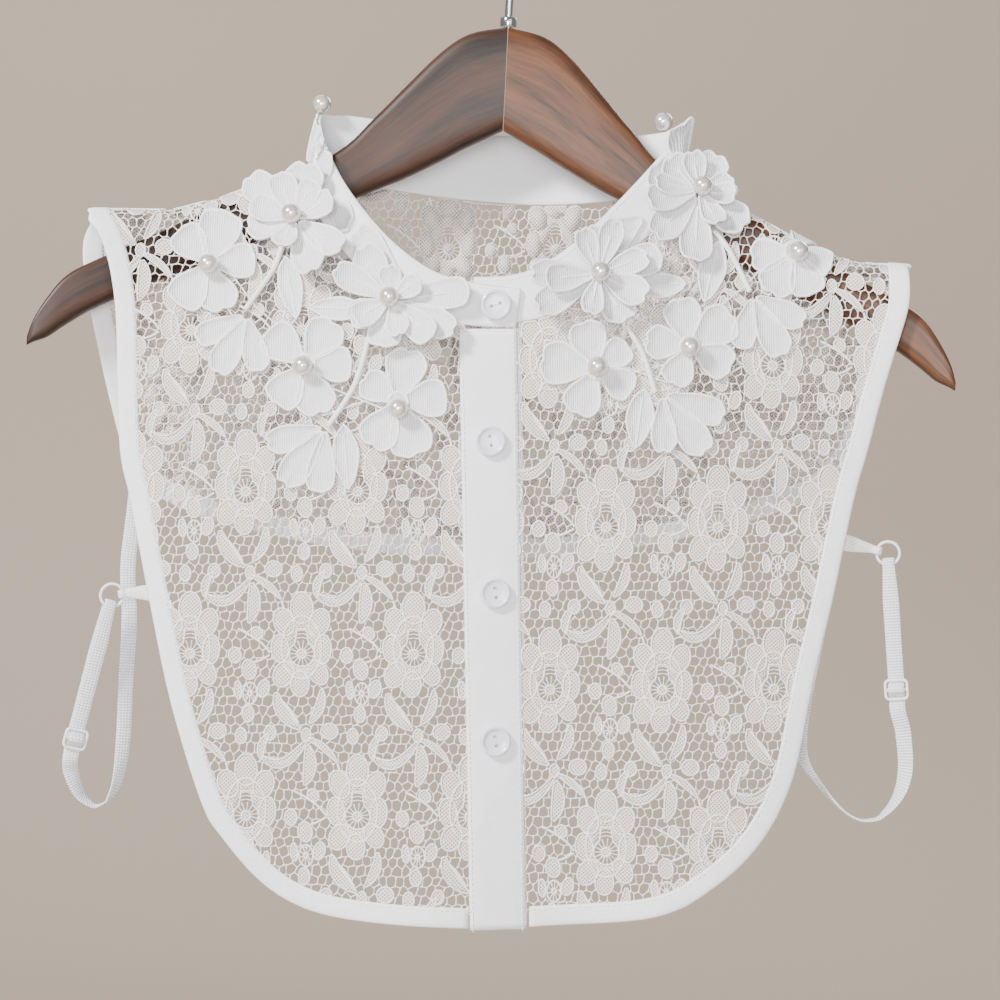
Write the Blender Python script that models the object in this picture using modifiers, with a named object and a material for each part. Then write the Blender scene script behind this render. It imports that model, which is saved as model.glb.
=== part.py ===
"""Detachable lace collar with a buttoned front, hung on a shaped wooden hanger.

The cloth lies over the hanger's arms and falls as a long front and a short back.
Sizes are millimetres and become metres where a mesh is made. X runs to the right
as the front is seen, -Y faces the viewer, Z is up, and the origin is the point
under the top of the hook's bow, where the hanger hangs.
"""
import math

import bpy
from mathutils import Quaternion, Vector
from mathutils.geometry import delaunay_2d_cdt

MM = 0.001
SEAM_GAP = 0.3
PANEL_GAP = 0.45
SHOULDER_GAP = 0.4
REST_GAP = 0.55

# Hanger: half a table of one arm, mirrored for the other, then tilted as it hangs.
HANGER_TILT = math.radians(2.85)
ARM_REACH = 200.0
ARM_SWEEP = 30.0
ARM_SWEEP_POWER = 2.2
ARM_COLUMNS = ("reach", "top", "bottom", "thick")
ARM_STATIONS = (
    (0.15, -70.5, -115.0, 13.0),
    (16.0, -74.0, -123.5, 13.0),
    (28.0, -82.5, -130.5, 13.0),
    (42.0, -97.5, -138.0, 13.0),
    (55.0, -112.0, -144.0, 12.5),
    (72.0, -129.0, -152.5, 12.5),
    (110.0, -149.0, -171.5, 12.0),
    (150.0, -170.5, -191.0, 12.0),
    (170.0, -181.0, -201.5, 11.5),
    (181.0, -188.0, -209.0, 10.0),
    (188.0, -197.0, -214.5, 8.5),
    (193.5, -207.0, -217.0, 6.5),
    (196.0, -214.5, -218.5, 3.5),
)
ARM_SIDES = 12
ARM_ROUNDING = 0.55
HOOK_WIRE = 1.7
HOOK_BOW = 24.0
HOOK_FOOT = -70.0
FERRULE_RADIUS = 3.6
FERRULE_HEIGHT = 4.2

# Cloth walls, and how the cloth rolls over an arm and swells away below it. The lift is
# how far the cloth stands off the arm at an x.
WALL = 1.0
ROLL_RADIUS = 10.5
ROLL_ARC = ROLL_RADIUS * math.pi / 2
SWELL_FALL = 45.0
FRONT_SWELL = (-41.0, 9.0)
BACK_SWELL = (27.0, -34.0)
SWELL_HALF_WIDTH = 170.0
MIDDLE_X = -8.0
HEM_WAVE = (2.0, 250.0, 120.0)
SHOULDER_LIFT = (
    (-190.0, 27.0), (-182.0, 22.0), (-160.0, 12.0), (-147.0, 6.0), (-128.0, 2.0),
    (-110.0, 0.3), (-95.0, 0.0), (85.0, 0.0), (110.0, 0.6), (128.0, 1.5),
    (140.0, 4.0), (152.0, 9.0), (166.0, 17.0), (174.0, 22.0),
)

# Outer edges of the bound panels, seen from the front: x, z down from the shoulder.
FRONT_LEFT_EDGE = (
    (-180.5, -156.0), (-176.0, -162.0), (-172.0, -174.0), (-169.5, -189.0), (-168.5, -205.0),
    (-167.0, -252.0), (-162.5, -274.0), (-154.0, -318.0), (-145.0, -360.0), (-132.0, -402.0),
    (-123.5, -416.0), (-110.0, -432.0), (-96.5, -442.0), (-80.0, -448.0), (-56.0, -451.0),
    (-20.2, -453.0),
)
FRONT_RIGHT_EDGE = (
    (165.5, -178.0), (165.0, -193.0), (158.5, -215.0), (153.5, -232.0), (148.0, -253.0),
    (142.0, -274.0), (132.5, -318.0), (125.0, -349.0), (118.5, -382.0), (113.0, -399.0),
    (105.0, -414.0), (94.0, -427.0), (80.0, -438.0), (66.0, -446.0), (46.0, -450.5),
    (5.2, -453.0),
)
BACK_LEFT_EDGE = (
    (-182.0, -156.0), (-185.0, -163.0), (-185.0, -175.0), (-181.5, -198.0), (-177.0, -220.0),
    (-170.5, -248.0),
)
BACK_RIGHT_EDGE = (
    (167.5, -179.0), (167.5, -190.0), (161.5, -210.0), (155.0, -231.0), (148.5, -250.0),
)
BACK_HEM_EDGE = (
    (-170.2, -249.6), (-166.0, -259.5), (-157.0, -271.0), (-137.0, -281.0), (-111.0, -288.5),
    (-81.0, -294.5), (-50.0, -298.0), (-11.0, -300.0), (28.0, -298.0), (63.0, -293.0),
    (98.0, -284.5), (124.0, -275.0), (138.5, -265.5), (148.2, -251.6),
)
BINDING_WIDTH = 8.6
BINDING_THICK = 2.0
PUCKER_PITCH = 8.4
PUCKER_DEPTH = 0.35
HEM_JOIN = 1.0

# Collar stand: rows run from the overlapping end round the back to the end beneath.
STAND_THICK = 1.6
STAND_COLUMNS = ("side", "seam_x", "seam_z", "top_x", "top_y", "top_z", "out")
STAND_ROWS = (
    (-1, -0.5, -201.8, 2.0, -38.6, -185.5, 0.5),
    (-1, -19.6, -200.9, -17.1, -38.2, -182.9, 0.5),
    (-1, -38.9, -196.7, -34.7, -36.3, -177.8, 0.4),
    (-1, -59.9, -182.9, -51.9, -31.8, -165.2, 0.2),
    (-1, -77.1, -164.0, -67.1, -24.0, -147.6, 0.2),
    (-1, -87.0, -146.5, -77.6, -15.5, -130.4, 0.7),
    (-1, -89.0, -130.0, -84.5, -1.5, -110.0, 1.5),
    (1, -80.0, -134.0, -78.0, 11.0, -106.5, 1.3),
    (1, -56.0, -138.5, -51.0, 18.0, -109.0, 0.0),
    (1, -33.0, -141.6, -27.0, 24.0, -112.5, 0.0),
    (1, -5.0, -144.2, -1.0, 26.5, -114.0, 0.0),
    (1, 17.0, -145.0, 23.7, 25.5, -115.0, 0.0),
    (1, 42.0, -143.5, 47.0, 18.0, -115.0, 0.0),
    (1, 62.0, -139.0, 64.0, 11.0, -114.0, 1.3),
    (-1, 71.5, -128.0, 75.0, -2.0, -110.5, 1.5),
    (-1, 67.0, -150.0, 57.0, -17.0, -132.0, 0.7),
    (-1, 52.0, -166.0, 42.5, -26.0, -148.0, 0.0),
    (-1, 37.0, -182.0, 27.5, -34.5, -163.0, 0.0),
    (-1, 18.0, -195.0, 12.0, -36.6, -174.5, -0.4),
    (-1, 1.4, -199.5, -2.0, -36.4, -179.5, -1.4),
    (-1, -18.5, -199.6, -18.0, -36.0, -180.3, -1.4),
)
STAND_STEPS = 3
LEFT_POINT = 6
RIGHT_POINT = 14
SEAM_SHIFT = 0.45

# Placket: two strips of cotton, one over the other, with the edges as they run down.
PLACKET_TOP = -202.4
PLACKET_FOOT = -453.6
OVER_LEFT = (-24.2, -19.6)
OVER_RIGHT = (0.1, 3.9)
OVER_THICK = 1.8
OVER_OUT = 0.4
UNDER_LEFT = (-20.0, -17.0)
UNDER_RIGHT = (2.4, 4.5)
UNDER_THICK = 1.4
UNDER_OUT = -1.5
PLACKET_ROWS = 11

# Buttons: turned discs with a raised rim and two thread holes.
BUTTON_SEAT = 0.3
BUTTON_PROFILE = ((0.0, 1.8), (4.4, 1.8), (5.2, 2.6), (6.1, 2.4), (6.4, 1.5), (5.6, 0.0), (0.0, 0.0))
BUTTON_SIDES = 12
HOLE_RADIUS = 0.75
HOLE_DEPTH = 12.0
HOLE_SIDES = 6
HOLE_SPREAD = 1.8
BUTTON_COLUMNS = ("x", "z", "turn", "seat")
BUTTONS = (
    (-8.7, -192.5, 20.0, 0.6), (-11.0, -249.4, 98.0, 0.1),
    (-9.1, -312.8, 98.0, 0.1), (-9.1, -374.7, 100.0, 0.1),
)

# Lace: one flower to a repeat, rows set half a repeat apart, with its widest gaps.
REPEAT_WIDTH = 47.0
REPEAT_HEIGHT = 68.0
FLOWER_ORIGIN = {"front_left": (-90.0, -338.5), "front_right": (61.0, -353.5), "back": (-6.0, -232.0)}
GAP_COLUMNS = ("x", "z", "wide", "tall")
LACE_GAPS = (
    (0.0, 2.5, 5.2, 7.4), (14.5, 11.5, 6.6, 6.2),
    (-14.0, -9.0, 6.0, 7.0), (15.0, -9.0, 5.6, 6.6), (2.0, -26.0, 6.6, 6.0),
)
GAP_SIDES = 6
GAP_CLEARANCE = 2.2
GAP_MARGIN = 9.0
ROLL_GRID_X = 10.5
ROLL_ROWS = (3.6, 7.4, 11.2, 15.0, 19.0)
UPPER_ROWS = (27.0, 36.0)
GRID_DROP = 27.0
GRID_EDGE = 2.0
EDGE_STEP = 13.0
ROLL_FINENESS = 4

# Appliqued lace lying on the collar. A flower is x, z, radius, petals, turn and notch, a
# leaf x, z, length, width and turn, and a stem runs between two points.
APPLIQUE_LIFT = 1.4
APPLIQUE_THICK = 1.4
APPLIQUE_RIM = 0.75
MIDDLE_REACH = 4.0
SKY = 0.0
NECK_CLEARANCE = 2.4
STEM_WIDTH = 3.0
APPLIQUE = {
    "applique_left": {
        "side": -1,
        "flowers": (
            (-129.8, -174.5, 16.5, 5, 12.0, 0.42), (-89.5, -217.8, 18.0, 5, 40.0, 0.42),
            (-49.3, -235.9, 19.5, 5, 10.0, 0.42), (-119.0, -207.0, 12.5, 4, 45.0, 0.45),
            (-90.0, -254.0, 14.0, 3, 270.0, 0.45), (-95.0, -168.0, 17.0, 5, 60.0, 0.35),
            (-61.0, -205.0, 15.0, 5, 30.0, 0.35),
        ),
        "leaves": (
            (-95.8, -187.0, 27.0, 11.0, 70.0), (-76.1, -194.0, 26.0, 12.0, 110.0),
            (-71.0, -254.0, 27.0, 9.0, 100.0), (-112.0, -186.0, 22.0, 11.0, 40.0),
            (-70.0, -222.0, 20.0, 8.0, 60.0), (-143.0, -166.0, 18.0, 10.0, 150.0),
        ),
        "stems": (
            (-101.0, -178.0, -113.0, -212.0), (-95.0, -170.0, -90.0, -200.0),
            (-66.0, -214.0, -76.0, -246.0), (-76.0, -246.0, -84.0, -252.0),
            (-110.0, -176.0, -120.0, -176.0), (-60.0, -222.0, -54.0, -232.0),
        ),
    },
    "applique_right": {
        "side": -1,
        "flowers": (
            (33.6, -218.3, 19.0, 5, 20.0, 0.42), (72.6, -209.9, 19.0, 5, 50.0, 0.42),
            (119.1, -170.5, 16.0, 5, 0.0, 0.42), (104.5, -201.0, 13.0, 4, 45.0, 0.45),
            (68.4, -243.5, 14.0, 3, 250.0, 0.45), (77.0, -164.0, 17.0, 5, 20.0, 0.35),
            (45.0, -193.0, 14.0, 5, 30.0, 0.35),
        ),
        "leaves": (
            (60.5, -187.0, 26.0, 11.0, 80.0), (87.0, -183.0, 26.0, 10.0, 105.0),
            (51.7, -240.5, 26.0, 9.0, 75.0), (101.0, -178.0, 22.0, 11.0, 130.0),
            (132.0, -183.0, 20.0, 10.0, 60.0), (54.0, -226.0, 18.0, 8.0, 120.0),
        ),
        "stems": (
            (77.0, -176.0, 76.0, -205.0), (52.0, -200.0, 62.0, -236.0),
            (88.0, -170.0, 112.0, -172.0), (96.0, -184.0, 102.0, -196.0),
            (40.0, -206.0, 36.0, -214.0), (56.0, -204.0, 66.0, -204.0),
        ),
    },
    "applique_back_left": {
        "side": 1,
        "flowers": (
            (-104.0, -162.0, 17.0, 5, 15.0, 0.4), (-133.0, -176.0, 15.0, 5, 40.0, 0.42),
            (-80.0, -186.0, 16.0, 5, 10.0, 0.42),
        ),
        "leaves": ((-107.0, -187.0, 24.0, 11.0, 75.0), (-62.0, -170.0, 24.0, 10.0, 30.0)),
        "stems": ((-104.0, -165.0, -133.0, -174.0), (-100.0, -168.0, -84.0, -184.0),
                  (-104.0, -166.0, -107.0, -180.0), (-80.0, -182.0, -66.0, -172.0)),
    },
    "applique_back_right": {
        "side": 1,
        "flowers": (
            (88.0, -172.0, 17.0, 5, 15.0, 0.4), (118.0, -190.0, 15.0, 5, 40.0, 0.42),
            (64.0, -194.0, 16.0, 5, 10.0, 0.42),
        ),
        "leaves": ((92.0, -196.0, 24.0, 11.0, 105.0), (46.0, -176.0, 24.0, 10.0, 150.0)),
        "stems": ((88.0, -174.0, 118.0, -188.0), (86.0, -176.0, 66.0, -192.0),
                  (88.0, -176.0, 92.0, -190.0), (64.0, -190.0, 50.0, -178.0)),
    },
}
PETAL_STEPS = 5

# Raised flowers: two cupped tiers on a frame of their own, with a pearl in the middle.
TIER_THICK = 1.1
TIER_COLUMNS = ("x", "y", "z", "pitch", "yaw", "radius", "turn")
RAISED_FLOWERS = {
    "flower_left_neck": (-92.9, -26.8, -156.3, 20.0, -14.0, 26.0, 10.0),
    "flower_left_front": (-51.8, -38.1, -190.6, 9.0, -10.0, 25.0, 30.0),
    "flower_right_front": (33.6, -37.0, -180.0, 9.0, 10.0, 26.0, 0.0),
    "flower_right_neck": (77.0, -17.3, -144.0, 22.0, 14.0, 25.0, 20.0),
}
TIER_RISE = (1.6, 3.4)
TIER_SCALE = (1.0, 0.72)
TIER_CUP = (1.5, 4.5)
TIER_TWIST = 36.0
TIER_NOTCH = 0.34
PEARL_RADIUS = 4.2
PEARL_SEGMENTS = 9
PEARL_RINGS = 6
PEARL_SEAT = 0.3
LYING_PEARLS = {
    "pearl_left_shoulder": (-1, -129.8, -174.5), "pearl_left_middle": (-1, -89.5, -217.8),
    "pearl_left_low": (-1, -49.3, -235.9), "pearl_right_low": (-1, 33.6, -218.3),
    "pearl_right_middle": (-1, 72.6, -209.9), "pearl_right_shoulder": (-1, 119.1, -170.5),
}
CREST_PEARLS = {"pearl_left_crest": 19, "pearl_right_crest": 39}

# Straps: a satin tab, a ring, a slider and flat elastic on each side. A route's points
# are x, y, z and the yaw of the strap's width.
STRAP_WIDTH = 6.8
STRAP_THICK = 1.0
STRAP_RING_WIDTH = 5.0
TAB_WIDTH = 6.6
TAB_RING_WIDTH = 3.4
TAB_THICK = 0.8
TAB_SLACK = 0.45
TAB_CLEAR = 2.6
RING_RADIUS = 4.9
RING_WIRE = 0.65
RING_INSET = 1.0
RING_CLEAR = 0.1
RING_SEGMENTS = 14
RING_SIDES = 6
SLIDER_BAR = 0.6
STRAP_WEAVE = 1.75
SLIDER_PITCH = 4.0
SLIDER_HALF_WIDTH = 4.6
STRAPS = {
    "left": {
        "ring": (-171.0, -27.0, -314.3),
        "slider": (-187.0, -30.0, -374.5),
        "yaw": 20.0,
        "tab_end": (-151.5, -32.2, -313.0),
        "route": (
            (-188.3, -28.0, -388.0, 28.0), (-184.5, -24.0, -399.0, 60.0), (-177.0, -20.0, -404.0, 84.0),
            (-170.6, -18.0, -396.0, 60.0), (-167.6, -17.0, -378.0, 34.0), (-166.4, -16.0, -350.0, 26.0),
            (-165.0, -15.0, -325.0, 20.0), (-166.0, -12.0, -303.0, 20.0), (-164.5, -8.0, -285.0, 20.0),
            (-163.2, -5.6, -270.0, 20.0), (-163.4, -5.1, -257.0, 20.0),
        ),
    },
    "right": {
        "ring": (157.0, -27.0, -296.5),
        "slider": (160.8, -30.0, -353.9),
        "yaw": -12.0,
        "tab_end": (136.2, -30.6, -291.5),
        "route": (
            (163.0, -28.5, -371.0, -14.0), (164.3, -27.0, -388.0, -30.0), (160.5, -25.0, -401.0, -60.0),
            (151.0, -22.0, -410.0, -86.0), (140.0, -20.0, -407.0, -84.0), (129.0, -19.0, -395.0, -70.0),
            (121.5, -18.0, -382.0, -50.0), (122.5, -15.0, -362.0, -30.0), (130.0, -11.0, -325.0, -18.0),
            (136.5, -6.0, -290.0, -17.0), (139.0, -2.9, -272.0, -17.0), (140.2, -2.1, -257.0, -17.0),
        ),
    },
}
STRAP_STEP = 8.5


def row(columns, values):
    return dict(zip(columns, values))


def material(name, color, roughness, metallic=0.0):
    made = bpy.data.materials.new(name)
    made.use_nodes = True
    shader = made.node_tree.nodes["Principled BSDF"]
    shader.inputs["Base Color"].default_value = (*color, 1.0)
    shader.inputs["Roughness"].default_value = roughness
    shader.inputs["Metallic"].default_value = metallic
    return made


def place(obj, surface, parent=None):
    """Links an object to the model with its material."""
    collection.objects.link(obj)
    obj.data.materials.append(surface)
    obj.parent = parent
    return obj


def mesh_object(name, points, faces, surface, parent=None):
    """A mesh object from points in millimetres."""
    mesh = bpy.data.meshes.new(name)
    mesh.from_pydata([Vector(point) * MM for point in points], [], faces)
    mesh.update()
    return place(bpy.data.objects.new(name, mesh), surface, parent)


def solidify(obj, thickness, offset=0.0, group=None):
    """Gives an open surface its wall."""
    wall = obj.modifiers.new("wall", "SOLIDIFY")
    wall.thickness = thickness * MM
    wall.offset = offset
    if group:
        wall.vertex_group = group


def smooth(points, steps):
    """Catmull-Rom curve through points of any dimension."""
    count = len(points)
    curve = []
    for index in range(count - 1):
        a = points[max(index - 1, 0)]
        b = points[index]
        c = points[index + 1]
        d = points[min(index + 2, count - 1)]
        for step in range(steps):
            t = step / steps
            curve.append(tuple(
                0.5 * (2 * q + (r - p) * t + (2 * p - 5 * q + 4 * r - s) * t * t
                       + (3 * q - p - 3 * r + s) * t ** 3)
                for p, q, r, s in zip(a, b, c, d)
            ))
    curve.append(tuple(points[-1]))
    return curve


def resample(points, step):
    """Points at even steps along a curve, ends kept."""
    lengths = [0.0]
    for first, second in zip(points, points[1:]):
        lengths.append(lengths[-1] + math.dist(first, second))
    count = max(1, round(lengths[-1] / step))
    made = []
    at = 0
    for index in range(count + 1):
        goal = lengths[-1] * index / count
        while at < len(lengths) - 2 and lengths[at + 1] < goal:
            at += 1
        span = lengths[at + 1] - lengths[at]
        t = (goal - lengths[at]) / span if span else 0.0
        made.append(tuple(p + (q - p) * t for p, q in zip(points[at], points[at + 1])))
    return made


def between(rows, x):
    """Linear value in a table of two columns."""
    if x <= rows[0][0]:
        return rows[0][1]
    for (x0, value0), (x1, value1) in zip(rows, rows[1:]):
        if x <= x1:
            return value0 + (value1 - value0) * (x - x0) / (x1 - x0)
    return rows[-1][1]


def tilted(x, z):
    """Where the hanger's tilt takes a point of the untilted hanger."""
    return (x * math.cos(HANGER_TILT) + z * math.sin(HANGER_TILT),
            z * math.cos(HANGER_TILT) - x * math.sin(HANGER_TILT))


def arm_depth(reach):
    """How far the hanger sweeps toward the viewer along an arm."""
    return -ARM_SWEEP * (abs(reach) / ARM_REACH) ** ARM_SWEEP_POWER


def hanger_line(height):
    """World x with a world height or depth, along the tilted hanger's top edge."""
    line = []
    for values in ARM_STATIONS:
        reach, top = values[:2]
        for signed in (-reach, reach):
            x, z = tilted(signed, top)
            line.append((x, z if height else arm_depth(reach)))
    return sorted(line)


HANGER_TOP = hanger_line(True)
HANGER_DEPTH = hanger_line(False)


def ridge(x):
    """Height of the cloth's middle where it crosses the shoulder line."""
    return between(HANGER_TOP, x) + REST_GAP + WALL / 2 + between(SHOULDER_LIFT, x)


def crest(x):
    """Level of the shoulder line, with the roll over the arm laid flat."""
    return ridge(x) - ROLL_RADIUS + ROLL_ARC


def level_of(x, z):
    """Level of a point of the cloth seen at height z: the height itself below the roll."""
    fall = max(0.0, ridge(x) - z)
    if fall >= ROLL_RADIUS:
        return z
    return crest(x) - ROLL_RADIUS * math.acos(1 - fall / ROLL_RADIUS)


def cloth(x, level, side, out=0.0):
    """A point of the cloth: side -1 is the front and 1 the back, out is away from the wearer."""
    drop = crest(x) - level
    turn = max(0.0, min(drop / ROLL_RADIUS, math.pi / 2))
    top = between(HANGER_DEPTH, x)
    y = top + side * ROLL_RADIUS * math.sin(turn)
    z = ridge(x) - ROLL_RADIUS * (1 - math.cos(turn))
    if drop > ROLL_ARC:
        fall = drop - ROLL_ARC
        depth, spread = FRONT_SWELL if side < 0 else BACK_SWELL
        low = depth + spread * ((x - MIDDLE_X) / SWELL_HALF_WIDTH) ** 2
        y += (low - (top + side * ROLL_RADIUS)) * (1 - math.exp(-fall / SWELL_FALL))
        size, reach, pitch = HEM_WAVE
        y += size * (fall / reach) ** 2 * math.sin(2 * math.pi * x / pitch + 0.6)
        z -= fall
    return Vector((x, y + side * out * math.sin(turn), z + out * math.cos(turn)))


def flat(points):
    """Front-view points as flat cloth coordinates: x and level."""
    return [(x, level_of(x, z)) for x, z in points]


def inward(points, distance):
    """A flat curve moved sideways to its left-hand side."""
    moved = []
    for index, (x, level) in enumerate(points):
        before = points[max(index - 1, 0)]
        after = points[min(index + 1, len(points) - 1)]
        along = Vector((after[0] - before[0], after[1] - before[1])).normalized()
        moved.append((x - along.y * distance, level + along.x * distance))
    return moved


def grid_faces(rows, columns):
    return [
        (r * columns + c, r * columns + c + 1, (r + 1) * columns + c + 1, (r + 1) * columns + c)
        for r in range(rows - 1) for c in range(columns - 1)
    ]


def strip(name, edges, thickness, surface):
    """A band with a wall, from rows of points across it."""
    points = [point for across in edges for point in across]
    obj = mesh_object(name, points, grid_faces(len(edges), len(edges[0])), surface)
    solidify(obj, thickness)
    return obj


def inside(point, outline):
    x, y = point
    hit = False
    for (x0, y0), (x1, y1) in zip(outline, outline[1:] + outline[:1]):
        if (y0 > y) != (y1 > y) and x < x0 + (y - y0) * (x1 - x0) / (y1 - y0):
            hit = not hit
    return hit


def away(point, outline):
    """Distance from a point to an outline."""
    near = 1e9
    px, py = point
    for (x0, y0), (x1, y1) in zip(outline, outline[1:] + outline[:1]):
        length = (x1 - x0) ** 2 + (y1 - y0) ** 2
        share = ((px - x0) * (x1 - x0) + (py - y0) * (y1 - y0)) / length if length else 0.0
        t = max(0.0, min(1.0, share))
        near = min(near, math.hypot(px - x0 - t * (x1 - x0), py - y0 - t * (y1 - y0)))
    return near


def joined(faces):
    """The largest group of triangles that share edges."""
    owners = {}
    for number, face in enumerate(faces):
        for a, b in zip(face, face[1:] + face[:1]):
            owners.setdefault(frozenset((a, b)), []).append(number)
    groups = []
    seen = set()
    for first in range(len(faces)):
        if first in seen:
            continue
        seen.add(first)
        group = [first]
        for number in group:
            face = faces[number]
            for a, b in zip(face, face[1:] + face[:1]):
                fresh = [other for other in owners[frozenset((a, b))] if other not in seen]
                seen.update(fresh)
                group += fresh
        groups.append(group)
    return [faces[number] for number in max(groups, key=len)]


def triangulate(loops, extra, keep, lines=()):
    """Flat triangles between closed loops and along open lines, kept where keep says so."""
    coords = []
    edges = []
    for loop in loops:
        start = len(coords)
        coords += [Vector(point) for point in loop]
        edges += [(start + i, start + (i + 1) % len(loop)) for i in range(len(loop))]
    for line in lines:
        start = len(coords)
        coords += [Vector(point) for point in line]
        edges += [(start + i, start + i + 1) for i in range(len(line) - 1)]
    coords += [Vector(point) for point in extra]
    made, _, faces, _, _, _ = delaunay_2d_cdt(coords, edges, [], 0, 1e-4)
    kept = []
    for face in faces:
        middle = sum((made[i] for i in face), Vector((0.0, 0.0))) / len(face)
        if keep((middle.x, middle.y)):
            kept.append(tuple(face))
    kept = joined(kept)
    used = sorted({i for face in kept for i in face})
    index = {old: new for new, old in enumerate(used)}
    return [tuple(made[i]) for i in used], [tuple(index[i] for i in face) for face in kept]


def cloth_mesh(name, flat_points, faces, side, out, surface):
    """Flat triangles laid on the cloth, with their faces turned outward."""
    points = [cloth(x, level, side, out) for x, level in flat_points]
    turned = []
    for face in faces:
        a, b, c = (Vector(flat_points[i]) for i in face)
        anticlockwise = (b - a).cross(c - a) > 0
        turned.append(face if anticlockwise == (side < 0) else face[::-1])
    return mesh_object(name, points, turned, surface)


def stand_seam():
    """The stand's seam in flat coordinates with its side and out, from the front round the back."""
    seam = []
    parts = ((0, LEFT_POINT, -1), (LEFT_POINT, RIGHT_POINT, 1), (RIGHT_POINT, len(STAND_ROWS) - 1, -1))
    for first, last, side in parts:
        rows = []
        for values in STAND_ROWS[first:last + 1]:
            r = row(STAND_COLUMNS, values)
            rows.append((r["seam_x"], level_of(r["seam_x"], r["seam_z"]), r["out"]))
        stretch = smooth(rows, STAND_STEPS)
        seam += [(*point, side) for point in (stretch if first == 0 else stretch[1:])]
    return seam


def neckline(first, last, turned_by):
    """The panel's edge beside a stretch of the stand's seam, in flat coordinates."""
    stretch = stand_seam()[first * STAND_STEPS:last * STAND_STEPS + 1]
    moved = inward([point[:2] for point in stretch], SEAM_SHIFT * turned_by)
    return [(x, min(level, crest(x) - SHOULDER_GAP)) for x, level in moved]


def gap_loops(origin, outline, covered):
    """Outlines of the lace's widest gaps that lie clear inside a panel."""
    loops = []
    for line in range(-5, 6):
        shift = REPEAT_WIDTH / 2 if line % 2 else 0.0
        for across in range(-6, 7):
            centre_x = origin[0] + across * REPEAT_WIDTH + shift
            centre_z = origin[1] + line * REPEAT_HEIGHT
            for values in LACE_GAPS:
                gap = row(GAP_COLUMNS, values)
                x = centre_x + gap["x"]
                z = centre_z + gap["z"]
                if z > ridge(x) - ROLL_RADIUS - 4.0 or not inside((x, z), outline) or covered(x, z):
                    continue
                if away((x, z), outline) < max(gap["wide"], gap["tall"]) / 2 + GAP_CLEARANCE:
                    continue
                loops.append([
                    (x + gap["wide"] / 2 * math.cos(math.tau * (i + 0.5) / GAP_SIDES),
                     z + gap["tall"] / 2 * math.sin(math.tau * (i + 0.5) / GAP_SIDES))
                    for i in range(GAP_SIDES)
                ])
    return loops


def covered_by_flowers(side):
    """Tells whether a point of the lace lies under a lying flower or leaf."""
    spots = []
    for group in APPLIQUE.values():
        if group["side"] == side:
            spots += [(f[0], f[1], f[2] + 3.0) for f in group["flowers"]]
            spots += [(leaf[0], leaf[1], leaf[2] / 2) for leaf in group["leaves"]]
    return lambda x, z: any(math.hypot(x - sx, z - sz) < reach for sx, sz, reach in spots)


def grid_columns(low, high):
    """Columns of the panels' grid between two x values."""
    first = math.ceil(low / ROLL_GRID_X)
    return [index * ROLL_GRID_X for index in range(first, math.floor(high / ROLL_GRID_X) + 1)]


def roll_lines(low, high):
    """Rows along the roll over the arm, so that no triangle cuts across it."""
    columns = grid_columns(low - ROLL_GRID_X, high + ROLL_GRID_X)
    return [[(x, crest(x) - drop) for x in columns] for drop in ROLL_ROWS]


def grid_points(low, high, lowest):
    """Points laid over the cloth below the roll, wider apart lower down."""
    points = []
    for x in grid_columns(low, high):
        points += [(x, crest(x) - drop) for drop in UPPER_ROWS]
        if round(x / ROLL_GRID_X) % 2:
            continue
        drop = UPPER_ROWS[-1] + GRID_DROP / 2
        while crest(x) - drop > lowest:
            points.append((x, crest(x) - drop))
            drop += GRID_DROP
    return points


def panel(name, outline, origin, side, surface):
    """A lace panel: outline, widest gaps and a grid, laid on the cloth."""
    gaps = gap_loops(origin, outline, covered_by_flowers(side))
    xs = [point[0] for point in outline]
    extra = []
    for point in grid_points(min(xs), max(xs), min(point[1] for point in outline)):
        if not inside(point, outline) or away(point, outline) < GRID_EDGE:
            continue
        if any(math.dist(point, gap[0]) < GAP_MARGIN for gap in gaps):
            continue
        extra.append(point)
    lines = [
        [point for point in line if away(point, outline) > GRID_EDGE]
        for line in roll_lines(min(xs), max(xs))
    ]

    def keep(point):
        if not inside(point, outline):
            return False
        return not any(abs(point[0] - gap[0][0]) < GAP_MARGIN and inside(point, gap) for gap in gaps)

    points, faces = triangulate([outline] + gaps, extra, keep, lines)
    obj = cloth_mesh(name, points, faces, side, 0.0, surface)
    solidify(obj, WALL)
    return obj


def edge_curve(table, step):
    """A bound edge in flat coordinates from the shoulder line, finer on the roll."""
    line = flat(smooth(table, 4))
    shoulder = (line[0][0], crest(line[0][0]) - SHOULDER_GAP)
    fine = resample([shoulder] + line, step / ROLL_FINENESS)
    return [
        point for index, point in enumerate(fine)
        if crest(point[0]) - point[1] < ROLL_ARC + 3.0 or index % ROLL_FINENESS == 0 or index == len(fine) - 1
    ]


def inner_edge(outer, distance):
    """A bound edge moved inward, with its shoulder end kept on the shoulder line."""
    inner = inward(outer, distance)
    inner[0] = (inner[0][0], crest(inner[0][0]) - SHOULDER_GAP)
    return inner


def binding(name, outer, side, surface, turned_by):
    """A band of cotton between the outer edge and the panel."""
    inner = inner_edge(outer, BINDING_WIDTH * turned_by)
    if side < 0:
        inner[-1] = (outer[-1][0], inner[-1][1])
    edges = [(cloth(*a, side), cloth(*b, side)) for a, b in zip(outer, inner)]
    return strip(name, edges, BINDING_THICK, surface)


def petal_outline(x, z, radius, petals, turn, notch):
    """A flower seen flat: round petals with notches between them."""
    outline = []
    count = petals * PETAL_STEPS
    for index in range(count):
        phase = (index % PETAL_STEPS) / PETAL_STEPS
        reach = radius * (1 - notch * (1 - abs(math.sin(math.pi * phase)) ** 0.55))
        angle = math.radians(turn) + math.tau * index / count
        outline.append((x + reach * math.cos(angle), z + reach * math.sin(angle)))
    return outline


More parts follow.
